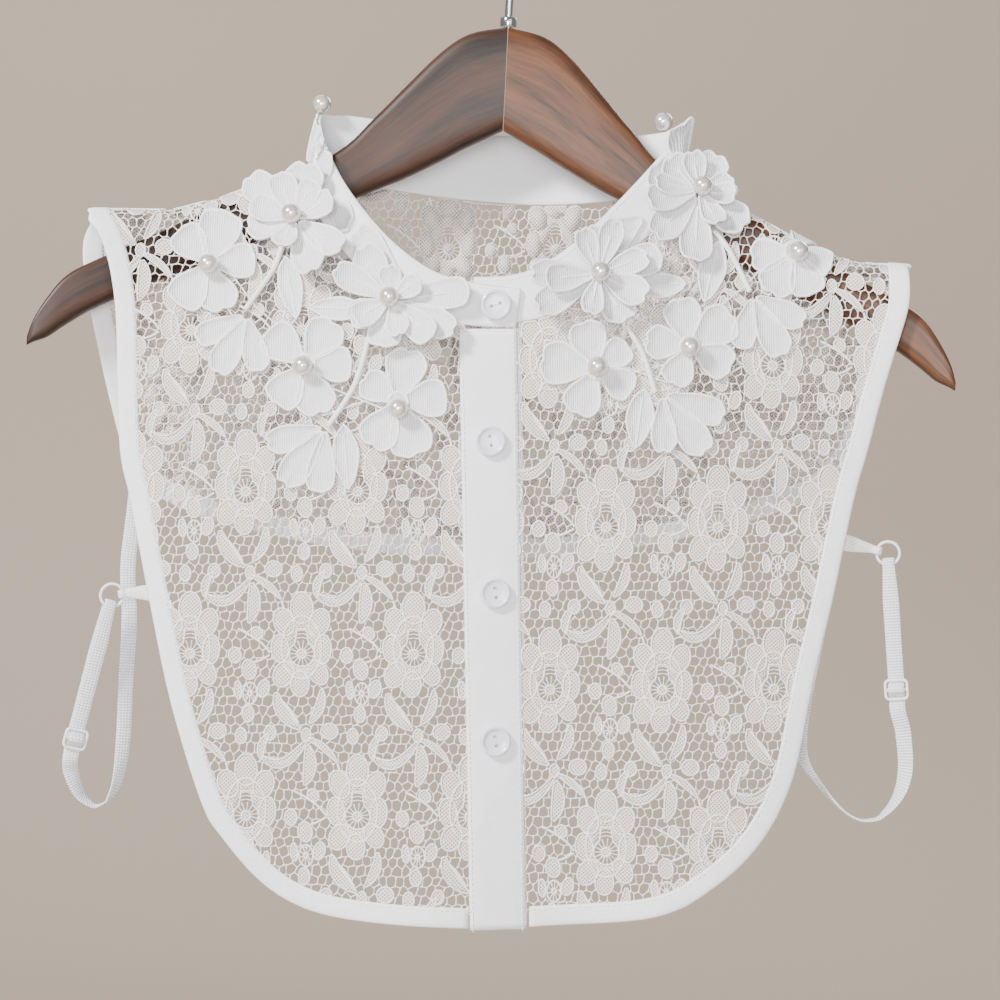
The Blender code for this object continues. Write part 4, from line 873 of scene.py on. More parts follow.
def edge_curve(table):
    """A bound edge in flat coordinates, from the shoulder line down."""
    line = [(x, level_of(x, z)) for x, z in smooth(table, 5)]
    shoulder = (line[0][0], crest(line[0][0]) - SHOULDER_GAP)
    return resample([shoulder] + line, EDGE_STEP)


def inner_edge(outer, distance):
    """A bound edge moved inward, with its shoulder end kept on the shoulder line."""
    inner = inward(outer, distance)
    inner[0] = (inner[0][0], crest(inner[0][0]) - SHOULDER_GAP)
    return inner


def laid_band(name, outer, inner, side, half, lift, ripple):
    """A folded strip of cotton laid on the cloth between two flat curves."""
    size, pitch = ripple
    loops = []
    along = 0.0
    for index, (a, b) in enumerate(zip(outer, inner)):
        if index:
            along += math.dist(a, outer[index - 1])
        turns = math.tau * along / pitch
        wave = size * (math.sin(turns) + 0.4 * math.sin(turns * 0.43 + 1.0))
        loops.append([
            cloth(a[0] + (b[0] - a[0]) * t, a[1] + (b[1] - a[1]) * t, side, lift + half * h + wave)
            for t, h in BAND_SECTION
        ])
    return shell(name, *loft(loops, [t * math.dist(outer[0], inner[0]) for t, _ in BAND_SECTION]), [cotton])


# Plain cotton lawn: matt, slightly blue white, a fine weave drawn at 0.7 mm, soft creases with painted
# shade in their hollows.
cotton, tree, shader = surface("cotton_lawn", "#f4f5fa", 0.82, (("Sheen Weight", 0.12),))
weave_uv = add(tree, "ShaderNodeUVMap", uv_map="cloth")
warp = add(tree, "ShaderNodeTexWave", values=(("Scale", 450.0), ("Distortion", 0.8), ("Detail", 1.0)),
           links=(("Vector", weave_uv.outputs["UV"]),), bands_direction="X")
weft = add(tree, "ShaderNodeTexWave", values=(("Scale", 450.0), ("Distortion", 0.8), ("Detail", 1.0)),
           links=(("Vector", weave_uv.outputs["UV"]),), bands_direction="Y")
both = add(tree, "ShaderNodeMath", links=((0, warp.outputs["Fac"]), (1, weft.outputs["Fac"])),
           operation="MULTIPLY")
place = add(tree, "ShaderNodeTexCoord")
soft = add(tree, "ShaderNodeTexNoise", values=(("Scale", 42.0), ("Detail", 2.0), ("Distortion", 0.6)),
           links=(("Vector", place.outputs["Object"]),))
# The crease noise paints the creases' hollows a little darker: painted shade.
tinted(tree, shader, soft.outputs["Fac"], "#eceef5", "#fbfbfd")
folds = raised(tree, shader, soft.outputs["Fac"], 0.9)
raised(tree, shader, both.outputs["Value"], 0.05, under=folds)

front_left = edge_curve(FRONT_LEFT_EDGE)
front_right = edge_curve(FRONT_RIGHT_EDGE)
back_left = edge_curve(BACK_LEFT_EDGE)
back_right = edge_curve(BACK_RIGHT_EDGE)
EDGES = {
    "binding_left": (front_left, 1, -1), "binding_right": (front_right, -1, -1),
    "binding_back_left": (back_left, 1, 1), "binding_back_right": (back_right, -1, 1),
}
cotton_bands = {}
stitch_lines = []
for node, (outer, turned_by, side) in EDGES.items():
    inner = inner_edge(outer, BINDING_WIDTH * turned_by)
    if side < 0:
        inner[-1] = (outer[-1][0], inner[-1][1])
    band = laid_band(node + "_cotton", outer, inner, side, BINDING_THICK / 2, 0.0, BINDING_RIPPLE)
    placed(band, node)
    cotton_bands[node] = band
    seam = inner_edge(outer, (BINDING_WIDTH - BINDING_SEAM) * turned_by)
    stitch_lines.append([cloth(x, level, side, BINDING_THICK / 2 - 0.02) for x, level in seam])

# Back hem: the same strip, but eased onto the lace so that it puckers every few millimetres.
HEM_STEP = 0.7
HEM_THICK = 1.7
HEM_SEAM = 1.4
HEM_RIPPLE = (0.28, 4.2)
HEM_JOIN = 1.0
back_hem = resample([(x, level_of(x, z)) for x, z in smooth(BACK_HEM_EDGE, 5)], HEM_STEP)
hem_top = inward(back_hem, BINDING_WIDTH)
for end, side_edge, turned_by in ((0, back_left, 1), (-1, back_right, -1)):
    corner_x, corner_level = inner_edge(side_edge, BINDING_WIDTH * turned_by)[-1]
    hem_top[end] = (corner_x, corner_level - HEM_JOIN)
hem = laid_band("binding_back_hem_cotton", back_hem, hem_top, 1, HEM_THICK / 2, 0.0, HEM_RIPPLE)
placed(hem, "binding_back_hem")
cotton_bands["binding_back_hem"] = hem
stitch_lines.append([cloth(x, level, 1, BINDING_THICK / 2 + 0.02)
                     for x, level in inward(back_hem, BINDING_WIDTH - HEM_SEAM)])

# Placket: two folded strips of the same cotton down the front, buttoned over each other.
PLACKET_TOP = -202.4
PLACKET_FOOT = -453.6
OVER_LEFT = (-24.2, -19.6)
OVER_RIGHT = (0.1, 3.9)
UNDER_LEFT = (-20.0, -17.0)
UNDER_RIGHT = (2.4, 4.5)
PLACKET_STEP = 3.0
PLACKET_SEAM = 1.4
PLACKET_RIPPLE = (0.05, 37.0)
# Left and right edge, thickness, and lift off the cloth.
PLACKETS = {
    "placket_over": (OVER_LEFT, OVER_RIGHT, 1.8, 0.4),
    "placket_under": (UNDER_LEFT, UNDER_RIGHT, 1.4, -1.5),
}


def placket_x(ends, z):
    """The placket edge's x at a height."""
    share = (PLACKET_TOP - z) / (PLACKET_TOP - PLACKET_FOOT)
    return ends[0] + (ends[1] - ends[0]) * share


def placket_line(ends, inset):
    """One edge of a placket from top to foot, moved in by an inset."""
    rows = round((PLACKET_TOP - PLACKET_FOOT) / PLACKET_STEP)
    heights = [PLACKET_TOP + (PLACKET_FOOT - PLACKET_TOP) * row / rows for row in range(rows + 1)]
    return [(placket_x(ends, z) + inset, level_of(placket_x(ends, z), z)) for z in heights]


for node, (left, right, thick, lift) in PLACKETS.items():
    band = laid_band(node + "_cotton", placket_line(left, 0.0), placket_line(right, 0.0), -1, thick / 2,
                     lift, PLACKET_RIPPLE)
    placed(band, node)
    cotton_bands[node] = band
_, _, thick, lift = PLACKETS["placket_over"]
for ends, inset in ((OVER_LEFT, PLACKET_SEAM), (OVER_RIGHT, -PLACKET_SEAM)):
    stitch_lines.append([cloth(x, level, -1, lift + thick / 2 - 0.03)
                         for x, level in placket_line(ends, inset)])

# Collar stand: a doubled band of cotton that rises from the neckline, cut on a curve.
STAND_THICK = 1.6
# Seam x and z, top edge x, y and z, and how far the seam stands off the cloth.
STAND_ROWS = (
    (-0.5, -201.8, 2.0, -38.6, -185.5, 0.5), (-19.6, -200.9, -17.1, -38.2, -182.9, 0.5),
    (-38.9, -196.7, -34.7, -36.3, -177.8, 0.4), (-59.9, -182.9, -51.9, -31.8, -165.2, 0.2),
    (-77.1, -164.0, -67.1, -24.0, -147.6, 0.2), (-87.0, -146.5, -77.6, -15.5, -130.4, 0.7),
    (-89.0, -130.0, -84.5, -1.5, -110.0, 1.5), (-80.0, -134.0, -78.0, 11.0, -106.5, 1.3),
    (-56.0, -138.5, -51.0, 18.0, -109.0, 0.0), (-33.0, -141.6, -27.0, 24.0, -112.5, 0.0),
    (-5.0, -144.2, -1.0, 26.5, -114.0, 0.0), (17.0, -145.0, 23.7, 25.5, -115.0, 0.0),
    (42.0, -143.5, 47.0, 18.0, -115.0, 0.0), (62.0, -139.0, 64.0, 11.0, -114.0, 1.3),
    (71.5, -128.0, 75.0, -2.0, -110.5, 1.5), (67.0, -150.0, 57.0, -17.0, -132.0, 0.7),
    (52.0, -166.0, 42.5, -26.0, -148.0, 0.0), (37.0, -182.0, 27.5, -34.5, -163.0, 0.0),
    (18.0, -195.0, 12.0, -36.6, -174.5, -0.4), (1.4, -199.5, -2.0, -36.4, -179.5, -1.4),
    (-18.5, -199.6, -18.0, -36.0, -180.3, -1.4),
)
STAND_STEPS = 9
STAND_HEIGHT = 20.0
STAND_SEAM = 0.9
LEFT_POINT = 6
RIGHT_POINT = 14
SEAM_SHIFT = 0.45


def stand_seam():
    """The stand's seam: flat coordinates, out and side, from the front round the back."""
    seam = []
    parts = ((0, LEFT_POINT, -1), (LEFT_POINT, RIGHT_POINT, 1), (RIGHT_POINT, len(STAND_ROWS) - 1, -1))
    for first, last, side in parts:
        rows = [(x, level_of(x, z), out) for x, z, _, _, _, out in STAND_ROWS[first:last + 1]]
        stretch = smooth(rows, STAND_STEPS)
        seam += [(*point, side) for point in (stretch if first == 0 else stretch[1:])]
    return seam


seam_points = [cloth(x, level, side, out) for x, level, out, side in stand_seam()]
top_points = [Vector(point) for point in smooth([row[2:5] for row in STAND_ROWS], STAND_STEPS)]
loops = []
topstitch = []
for index, (low, high) in enumerate(zip(seam_points, top_points)):
    before = max(index - 1, 0)
    after = min(index + 1, len(seam_points) - 1)
    along = (seam_points[after] + top_points[after]) - (seam_points[before] + top_points[before])
    out = (high - low).cross(along).normalized()
    if out.dot(Vector((low.x - MIDDLE_X, low.y, 0.0))) < 0:
        out = -out
    loops.append([low.lerp(high, t) + out * (h * STAND_THICK / 2) for t, h in BAND_SECTION])
    topstitch.append(low.lerp(high, STAND_SEAM) + out * (STAND_THICK / 2 - 0.05))
stand = shell("collar_stand_cotton", *loft(loops, [t * STAND_HEIGHT for t, _ in BAND_SECTION]), [cotton])
placed(stand, "collar_stand")
cotton_bands["collar_stand"] = stand
stitch_lines.append(topstitch)

# Lace panels: warp-knitted floral lace. Each repeat has a tall flower with a keyhole middle,
# a small ring flower, leaves and a scroll, filled with a close mesh and edged by a thick
# cord, in a net of small open cells.
REPEAT_WIDTH = 47.0
REPEAT_HEIGHT = 68.0
FLOWER_ORIGIN = {"front_left": (-90.0, -338.5), "front_right": (61.0, -353.5), "back": (-6.0, -232.0)}
PANEL_GAP = 0.45
UNDER_EDGE = 3.0
TUCKED_WIDTH = BINDING_WIDTH + PANEL_GAP - UNDER_EDGE
NET_WIDE = 3.7
NET_TALL = 1.45
NET_POINT = 2.5
NET_SLANT = 0.07
NET_LOOSE = 0.62
NET_LONGEST = 6.0
NET_RADIUS = 0.25
NET_KNOT = 0.9
NET_SPARE = 8
SQUARE = 12
CORD_RADIUS = 0.4
CORD_RISE = 0.42
TWIG_RADIUS = 0.5
TWIG_RISE = 0.3
SPOKE_RISE = 0.2
PLATE_RIM = 0.2
PLATE_TOP = 0.3
PLATE_CROWN = 0.35
PLATE_SHOULDER = 0.72
# Ovals: x, z, half width, half height and turn.
LACE_OVALS = (
    (0.0, 19.3, 4.7, 6.7, 0.0), (-7.6, 13.4, 4.2, 6.0, 18.0), (7.4, 13.1, 4.2, 6.0, -18.0),
    (-9.2, 2.2, 3.7, 5.9, 4.0), (8.9, 1.8, 3.5, 6.2, -4.0), (-7.7, -8.6, 4.2, 5.6, -24.0),
    (6.9, -7.8, 3.8, 5.4, 26.0), (-0.8, -12.6, 3.9, 5.4, 0.0),
    (-22.2, -6.6, 3.0, 4.2, 8.0), (-16.2, -14.6, 2.4, 3.8, -16.0), (-26.8, -15.2, 1.5, 3.8, 4.0),
    (-22.6, -25.2, 2.4, 3.4, 0.0), (-18.8, 8.7, 2.3, 2.7, 30.0), (18.8, -0.6, 2.6, 3.3, 0.0),
    (11.6, -32.4, 3.6, 3.3, 0.0), (-25.6, -34.4, 2.3, 3.3, 0.0), (1.8, -34.0, 2.0, 2.8, 0.0),
    (-13.4, -33.2, 2.5, 3.0, -10.0),
)
# Blades: foot, bend and tip, each as x and z, then half width.
LACE_BLADES = (
    (-10.8, -16.5, -10.0, -26.0, -0.6, -31.5, 2.5), (8.4, -15.0, 9.0, -23.0, 3.2, -29.0, 1.9),
    (2.4, -38.5, 5.0, -47.0, 1.2, -55.0, 2.6), (3.0, -35.5, 10.0, -38.5, 14.6, -45.0, 1.3),
    (1.6, -36.5, -8.5, -52.0, -17.0, -43.0, 1.9), (-17.0, -44.5, -18.5, -38.0, -14.0, -34.0, 1.5),
)
LACE_TWIGS = (
    ((-27.0, 10.5), (-23.0, 8.5), (-17.0, 4.5), (-13.4, 0.5)),
    ((-13.6, -0.5), (-17.0, -2.5), (-20.0, -3.5)),
    ((15.0, -45.5), (15.8, -48.6)),
    ((-8.0, -20.0), (-4.5, -24.0), (-1.5, -29.0)),
)
# Spoked rings: x, z, half sizes of the hub and of the ring, and spokes.
LADDER_RINGS = ((0.0, 0.0, 1.9, 1.9, 5.3, 5.3, 15), (-21.8, -16.6, 0.9, 1.1, 2.7, 4.3, 10))
KEYHOLE_NECK = 2.6
KEYHOLE_TOP = 10.4
KEYHOLE_RADIUS = 5.3
KEYHOLE_SIDES = 32
KEYHOLE_RUNGS = (6.4, 8.0, 9.4)
RUNG_HALF = 2.7
RUNG_BOW = 0.5
BLADE_STEPS = 7
BODY_OVAL = (0.0, 2.6, 8.4, 13.2)


def inside(point, outline):
    """Whether a flat point lies within an outline."""
    x, y = point
    hit = False
    for (x0, y0), (x1, y1) in zip(outline, outline[1:] + outline[:1]):
        if (y0 > y) != (y1 > y) and x < x0 + (y - y0) * (x1 - x0) / (y1 - y0):
            hit = not hit
    return hit


def nearest(point, outline):
    """The point of an outline nearest to a flat point."""
    best = None
    px, py = point
    for (x0, y0), (x1, y1) in zip(outline, outline[1:] + outline[:1]):
        length = (x1 - x0) ** 2 + (y1 - y0) ** 2
        share = ((px - x0) * (x1 - x0) + (py - y0) * (y1 - y0)) / length if length else 0.0
        t = max(0.0, min(1.0, share))
        x, y = x0 + t * (x1 - x0), y0 + t * (y1 - y0)
        gap = (px - x) ** 2 + (py - y) ** 2
        if best is None or gap < best[0]:
            best = (gap, x, y)
    return best[1], best[2]


def oval(x, z, half_wide, half_tall, turn, count=16):
    """A round petal of the knitted lace."""
    tilt = math.radians(turn)
    made = []
    for index in range(count):
        angle = math.tau * index / count
        u, v = half_wide * math.cos(angle), half_tall * math.sin(angle)
        made.append((x + u * math.cos(tilt) - v * math.sin(tilt),
                     z + u * math.sin(tilt) + v * math.cos(tilt)))
    return made


def blade(x0, z0, bend_x, bend_z, x1, z1, half):
    """A leaf along a bent line, fuller near its foot."""
    near, far = [], []
    for index in range(BLADE_STEPS + 1):
        t = index / BLADE_STEPS
        x = (1 - t) ** 2 * x0 + 2 * t * (1 - t) * bend_x + t * t * x1
        z = (1 - t) ** 2 * z0 + 2 * t * (1 - t) * bend_z + t * t * z1
        along = Vector((2 * (1 - t) * (bend_x - x0) + 2 * t * (x1 - bend_x),
                        2 * (1 - t) * (bend_z - z0) + 2 * t * (z1 - bend_z))).normalized()
        wide = half * math.sin(math.pi * min(1.0, t * 0.94 + 0.04)) ** 0.6
        near.append((x - along.y * wide, z + along.x * wide))
        far.append((x + along.y * wide, z - along.x * wide))
    return near + far[::-1]


def keyhole():
    """The opening in the middle of the tall flower, and the flower's body round it."""
    inner, outer = [], []
    for index in range(KEYHOLE_SIDES):
        angle = math.tau * index / KEYHOLE_SIDES + math.pi / 2
        u, v = math.cos(angle), math.sin(angle)
        reach = KEYHOLE_RADIUS
        if v > 0 and abs(u) * KEYHOLE_TOP < KEYHOLE_NECK * v:
            reach = KEYHOLE_TOP / v
        elif v > 0 and abs(u) * KEYHOLE_RADIUS < KEYHOLE_NECK:
            reach = max(KEYHOLE_RADIUS, KEYHOLE_NECK / abs(u))
        inner.append((u * reach, v * reach))
        x, z, wide, tall = BODY_OVAL
        outer.append((x + wide * u, z + tall * v))
    return inner, outer


class Panel:
    """One panel of lace while its parts are gathered in flat coordinates."""

    def __init__(self, outline, side, seed):
        self.outline = outline
        self.side = side
        self.chance = random.Random(seed)
        self.points = []
        self.faces = []
        self.uvs = []
        self.shapes = []
        self.squares = {}
        self.cords = []
        self.twigs = []
        self.fine = []

    def put(self, x, level, out):
        """Adds one point of the plates and gives its number."""
        self.points.append(cloth(x, level, self.side, out))
        self.uvs.append((x, level))
        return len(self.points) - 1

    def held(self, shape):
        """A shape drawn back to the panel's outline, or nothing where it lies outside."""
        kept = [inside(point, self.outline) for point in shape]
        if not any(kept):
            return None
        if all(kept):
            return shape
        return [point if good else nearest(point, self.outline) for point, good in zip(shape, kept)]

    def plate(self, shape, hole=None):
        """A filled motif: a shallow pillow, or a flat ring where it has a hole."""
        shape = self.held(shape)
        if shape is None:
            return
        hole = self.held(hole) if hole else None
        count = len(shape)
        middle = (sum(p[0] for p in shape) / count, sum(p[1] for p in shape) / count)
        rim = [self.put(x, z, PLATE_RIM) for x, z in shape]
        low = [self.put(x, z, -PLATE_RIM) for x, z in shape]
        if hole:
            top = [self.put(x, z, PLATE_TOP) for x, z in hole]
            base = [self.put(x, z, -PLATE_RIM) for x, z in hole]
        else:
            top = [self.put(middle[0] + (x - middle[0]) * PLATE_SHOULDER,
                            middle[1] + (z - middle[1]) * PLATE_SHOULDER, PLATE_TOP)
                   for x, z in shape]
        for i in range(count):
            j = (i + 1) % count
            self.faces.append((rim[i], rim[j], top[j], top[i]))
            self.faces.append((low[j], low[i], rim[i], rim[j])[::-1])
            if hole:
                self.faces.append((base[i], base[j], low[j], low[i]))
                self.faces.append((top[i], top[j], base[j], base[i]))
        if not hole:
            crown = self.put(*middle, PLATE_CROWN)
            self.faces += [(top[i], top[(i + 1) % count], crown) for i in range(count)]
            self.faces.append(tuple(low[::-1]))
        self.shapes.append(shape)
        for edge in (shape, hole) if hole else (shape,):
            self.cords.append([cloth(x, z, self.side, CORD_RISE) for x, z in edge])

    def run(self, line, rise):
        """A line of flat points on the cloth, where it lies inside the panel."""
        kept = [cloth(*point, self.side, rise) for point in line if inside(point, self.outline)]
        return [kept] if len(kept) > 1 else []

    def covered(self, point):
        """Whether a net knot is hidden by a filled motif."""
        square = (int(point[0] // SQUARE), int(point[1] // SQUARE))
        return any(inside(point, shape) for shape in self.squares.get(square, ()))

    def sort_shapes(self):
        """Lists the motifs that reach each square of the panel."""
        for shape in self.shapes:
            xs = [point[0] for point in shape]
            zs = [point[1] for point in shape]
            for across in range(int(min(xs) // SQUARE), int(max(xs) // SQUARE) + 1):
                for up in range(int(min(zs) // SQUARE), int(max(zs) // SQUARE) + 1):
                    self.squares.setdefault((across, up), []).append(shape)

    def repeat(self, x, z):
        """One repeat of the pattern round a flower's middle."""
        def moved(shape):
            return [(x + u, z + v) for u, v in shape]

        hole, body = keyhole()
        self.plate(moved(body), moved(hole))
        for values in LACE_OVALS:
            self.plate(moved(oval(*values)))
        for values in LACE_BLADES:
            self.plate(moved(blade(*values)))
        for twig in LACE_TWIGS:
            self.twigs += self.run(moved(smooth(twig, 3)), TWIG_RISE)
        for u, v, in_wide, in_tall, out_wide, out_tall, count in LADDER_RINGS:
            self.plate(moved(oval(u, v, in_wide, in_tall, 0.0, 10)))
            for index in range(count):
                angle = math.tau * index / count + 0.2
                spoke = ((in_wide * 0.8, in_tall * 0.8),
                         ((in_wide + out_wide) / 2, (in_tall + out_tall) / 2),
                         (out_wide * 1.08, out_tall * 1.08))
                self.fine += self.run(moved([(u + wide * math.cos(angle), v + tall * math.sin(angle))
                                             for wide, tall in spoke]), SPOKE_RISE)
        u, v, _, _, wide, tall, _ = LADDER_RINGS[1]
        ring = self.held(moved(oval(u, v, wide + 0.3, tall + 0.3, 0.0, 18)))
        if ring:
            self.shapes.append(ring)
            self.cords.append([cloth(*point, self.side, TWIG_RISE) for point in ring])
        for rung in KEYHOLE_RUNGS:
            bowed = moved([(-RUNG_HALF, rung), (0.0, rung + RUNG_BOW), (RUNG_HALF, rung)])
            self.fine += self.run(bowed, SPOKE_RISE)

    def net(self, origin):
        """The open net between the motifs."""
        xs = [point[0] for point in self.outline]
        zs = [point[1] for point in self.outline]
        pitch = NET_TALL + NET_POINT
        knots = {}
        strands = set()
        for line in range(int((min(zs) - origin[1]) // pitch) - 1, int((max(zs) - origin[1]) // pitch) + 2):
            for across in range(int((min(xs) - origin[0]) // NET_WIDE) - NET_SPARE,
                                int((max(xs) - origin[0]) // NET_WIDE) + NET_SPARE):
                column = 2 * across + line % 2
                top = (column, 2 * line + 1, 1)
                upper = (column + 1, 2 * line + 1, 0)
                upper_left = (column - 1, 2 * line + 1, 0)
                below = (column + 1, 2 * line - 1, 1)
                strands.update(((top, upper), (top, upper_left), (upper, below)))
        for strand in strands:
            for knot in strand:
                if knot not in knots:
                    column, half_line, kind = knot
                    line = (half_line - 1) // 2
                    level = line * pitch + (NET_POINT if kind else NET_TALL)
                    x = column * NET_WIDE / 2 + NET_SLANT * level
                    knots[knot] = (origin[0] + x, origin[1] + level)
        loose = {}
        for knot in sorted(knots):
            x, level = knots[knot]
            loose[knot] = (x + self.chance.uniform(-NET_LOOSE, NET_LOOSE),
                           level + self.chance.uniform(-NET_LOOSE, NET_LOOSE))
        hidden = {knot: self.covered(place) for knot, place in loose.items()}
        for first, second in sorted(strands):
            if hidden[first] and hidden[second]:
                continue
            a, b = loose[first], loose[second]
            if not inside(a, self.outline) or not inside(b, self.outline):
                continue
            if math.dist(a, b) > NET_LONGEST:
                continue
            middle = ((a[0] + b[0]) / 2, (a[1] + b[1]) / 2)
            self.fine.append([cloth(*point, self.side) for point in (a, middle, b)])


def thread_of(name, first, second):
    """Spun thread: bright soft polyester or cotton, a twist drawn at 0.8 mm."""
    made, tree, shader = surface(name, second, 0.7, (("Sheen Weight", 0.2), ("Subsurface Weight", 0.1)))
    shader.inputs["Subsurface Radius"].default_value = (0.0008, 0.0008, 0.0008)
    place = add(tree, "ShaderNodeTexCoord")
    twist = add(tree, "ShaderNodeTexWave", values=(("Scale", 390.0), ("Distortion", 1.0)),
                links=(("Vector", place.outputs["Object"]),), bands_direction="DIAGONAL")
    tinted(tree, shader, twist.outputs["Fac"], first, second)
    raised(tree, shader, twist.outputs["Fac"], 0.08)
    return made


net_thread = thread_of("net_thread", "#e6dcd8", "#faf5f2")
outline_cord = thread_of("outline_cord", "#e9e7ea", "#fdfdfd")

# Close mesh of the motifs: fine diamonds, with warm painted shade in the open holes between them.
close_mesh, tree, shader = surface("close_mesh", "#eae3e1", 0.8, (("Sheen Weight", 0.1),))
mesh_uv = add(tree, "ShaderNodeUVMap", uv_map="cloth")
turned_uv = add(tree, "ShaderNodeMapping", values=(("Rotation", (0.0, 0.0, 0.86)),),
                links=(("Vector", mesh_uv.outputs["UV"]),))
one_way = add(tree, "ShaderNodeTexWave", values=(("Scale", 270.0), ("Distortion", 0.5)),
              links=(("Vector", turned_uv.outputs["Vector"]),), bands_direction="X")
other_way = add(tree, "ShaderNodeTexWave", values=(("Scale", 270.0), ("Distortion", 0.5)),
                links=(("Vector", turned_uv.outputs["Vector"]),), bands_direction="Y")
crossed = add(tree, "ShaderNodeMath", links=((0, one_way.outputs["Fac"]), (1, other_way.outputs["Fac"])),
              operation="MAXIMUM")
diamonds_and_hole_shade = add(tree, "ShaderNodeMapRange", values=(("From Min", 0.35), ("From Max", 0.98)),
               links=(("Value", crossed.outputs["Value"]),))
# The darker colour between the diamonds is painted shade in the mesh's holes.
tinted(tree, shader, diamonds_and_hole_shade.outputs["Result"], "#a9988e", "#f1ebe8")
raised(tree, shader, diamonds_and_hole_shade.outputs["Result"], 0.2)


def neckline(first, last, turned_by):
    """The panel's edge beside a stretch of the stand's seam, in flat coordinates."""
    stretch = stand_seam()[first * STAND_STEPS:last * STAND_STEPS + 1:3]
    moved = inward([point[:2] for point in stretch], SEAM_SHIFT * turned_by)
    return [(x, min(level, crest(x) - SHOULDER_GAP)) for x, level in moved]


def shoulder_run(start, end):
    """Points of the shoulder line between two ends."""
    count = max(2, round(abs(end - start) / 6.0))
    xs = [start + (end - start) * index / count for index in range(1, count)]
    return [(x, crest(x) - SHOULDER_GAP) for x in xs]


def front_outline(bound, turned_by, ends, neck):
    """A front panel's outline, tucked under the binding and the placket."""
    outward = -turned_by
    edge = inner_edge(bound, TUCKED_WIDTH * turned_by)[::3]
    down = [point for point in edge if (point[0] - ends[1]) * outward > 3.0]
    foot = down[-1][1] - 0.3
    rim = between(sorted(neck), ends[0] + outward * SEAM_GAP)
    rise = []
    for index in range(9):
        z = foot + (rim - foot) * index / 8
        rise.append((placket_x(ends, z) - outward * UNDER_EDGE, z))
    collar_edge = [point for point in neck if (point[0] - rise[-1][0]) * outward > 2.0]
    return down + rise + collar_edge + shoulder_run(collar_edge[-1][0], edge[0][0])


def back_outline(neck):
    """The back panel's outline, tucked under its bindings."""
    left = inner_edge(back_left, TUCKED_WIDTH)[::3]
    right = inner_edge(back_right, -TUCKED_WIDTH)[::3]
    foot = inward(back_hem, TUCKED_WIDTH)[::12]
    foot = [point for point in foot if left[-1][0] + 1.0 < point[0] < right[-1][0] - 1.0]
    edge = left + foot + right[::-1]
    return edge + shoulder_run(edge[-1][0], neck[-1][0]) + neck[::-1] + shoulder_run(neck[0][0], edge[0][0])


neck_left = neckline(1, LEFT_POINT, 1)
neck_right = neckline(RIGHT_POINT, 19, 1)[::-1]
neck_back = neckline(LEFT_POINT, RIGHT_POINT, -1)
PANELS = {
    "front_left": (front_outline(front_left, 1, OVER_LEFT, neck_left), -1, 11,
                   (0.158, 0.262), ["binding_left", "placket_over"]),
    "front_right": (front_outline(front_right, -1, UNDER_RIGHT, neck_right), -1, 12,
                    (0.162, 0.262), ["binding_right", "placket_under"]),
    "back": (back_outline(neck_back), 1, 13, (0.345, 0.165),
             ["binding_back_left", "binding_back_right", "binding_back_hem", "collar_stand"]),
}
for panel_name, (outline, side, seed, cut, edging) in PANELS.items():
    panel = Panel(outline, side, seed)
    origin_x, origin_z = FLOWER_ORIGIN[panel_name]
    for line in range(-4, 5):
        shift = REPEAT_WIDTH / 2 if line % 2 else 0.0
        for across in range(-6, 7):
            panel.repeat(origin_x + across * REPEAT_WIDTH + shift, origin_z + line * REPEAT_HEIGHT)
    panel.sort_shapes()
    panel.net(FLOWER_ORIGIN[panel_name])
    plates = shell("plates", panel.points, panel.faces, panel.uvs, [close_mesh])
    parts = [
        object_of("net", threads("net", panel.fine, NET_RADIUS, 3, net_thread, NET_KNOT)), plates,
        object_of("cords", threads("cords", panel.cords, CORD_RADIUS, 4, outline_cord, closed=True)),
        object_of("twigs", threads("twigs", panel.twigs, TWIG_RADIUS, 5, outline_cord)),
    ]
    lace = joined(panel_name + "_knitted_lace", parts)
    placed(lace, panel_name + "_lace")
    flat_area = abs(sum(a[0] * b[1] - b[0] * a[1] for a, b in zip(outline, outline[1:] + outline[:1]))) / 2
    [cotton_bands[name] for name in edging]

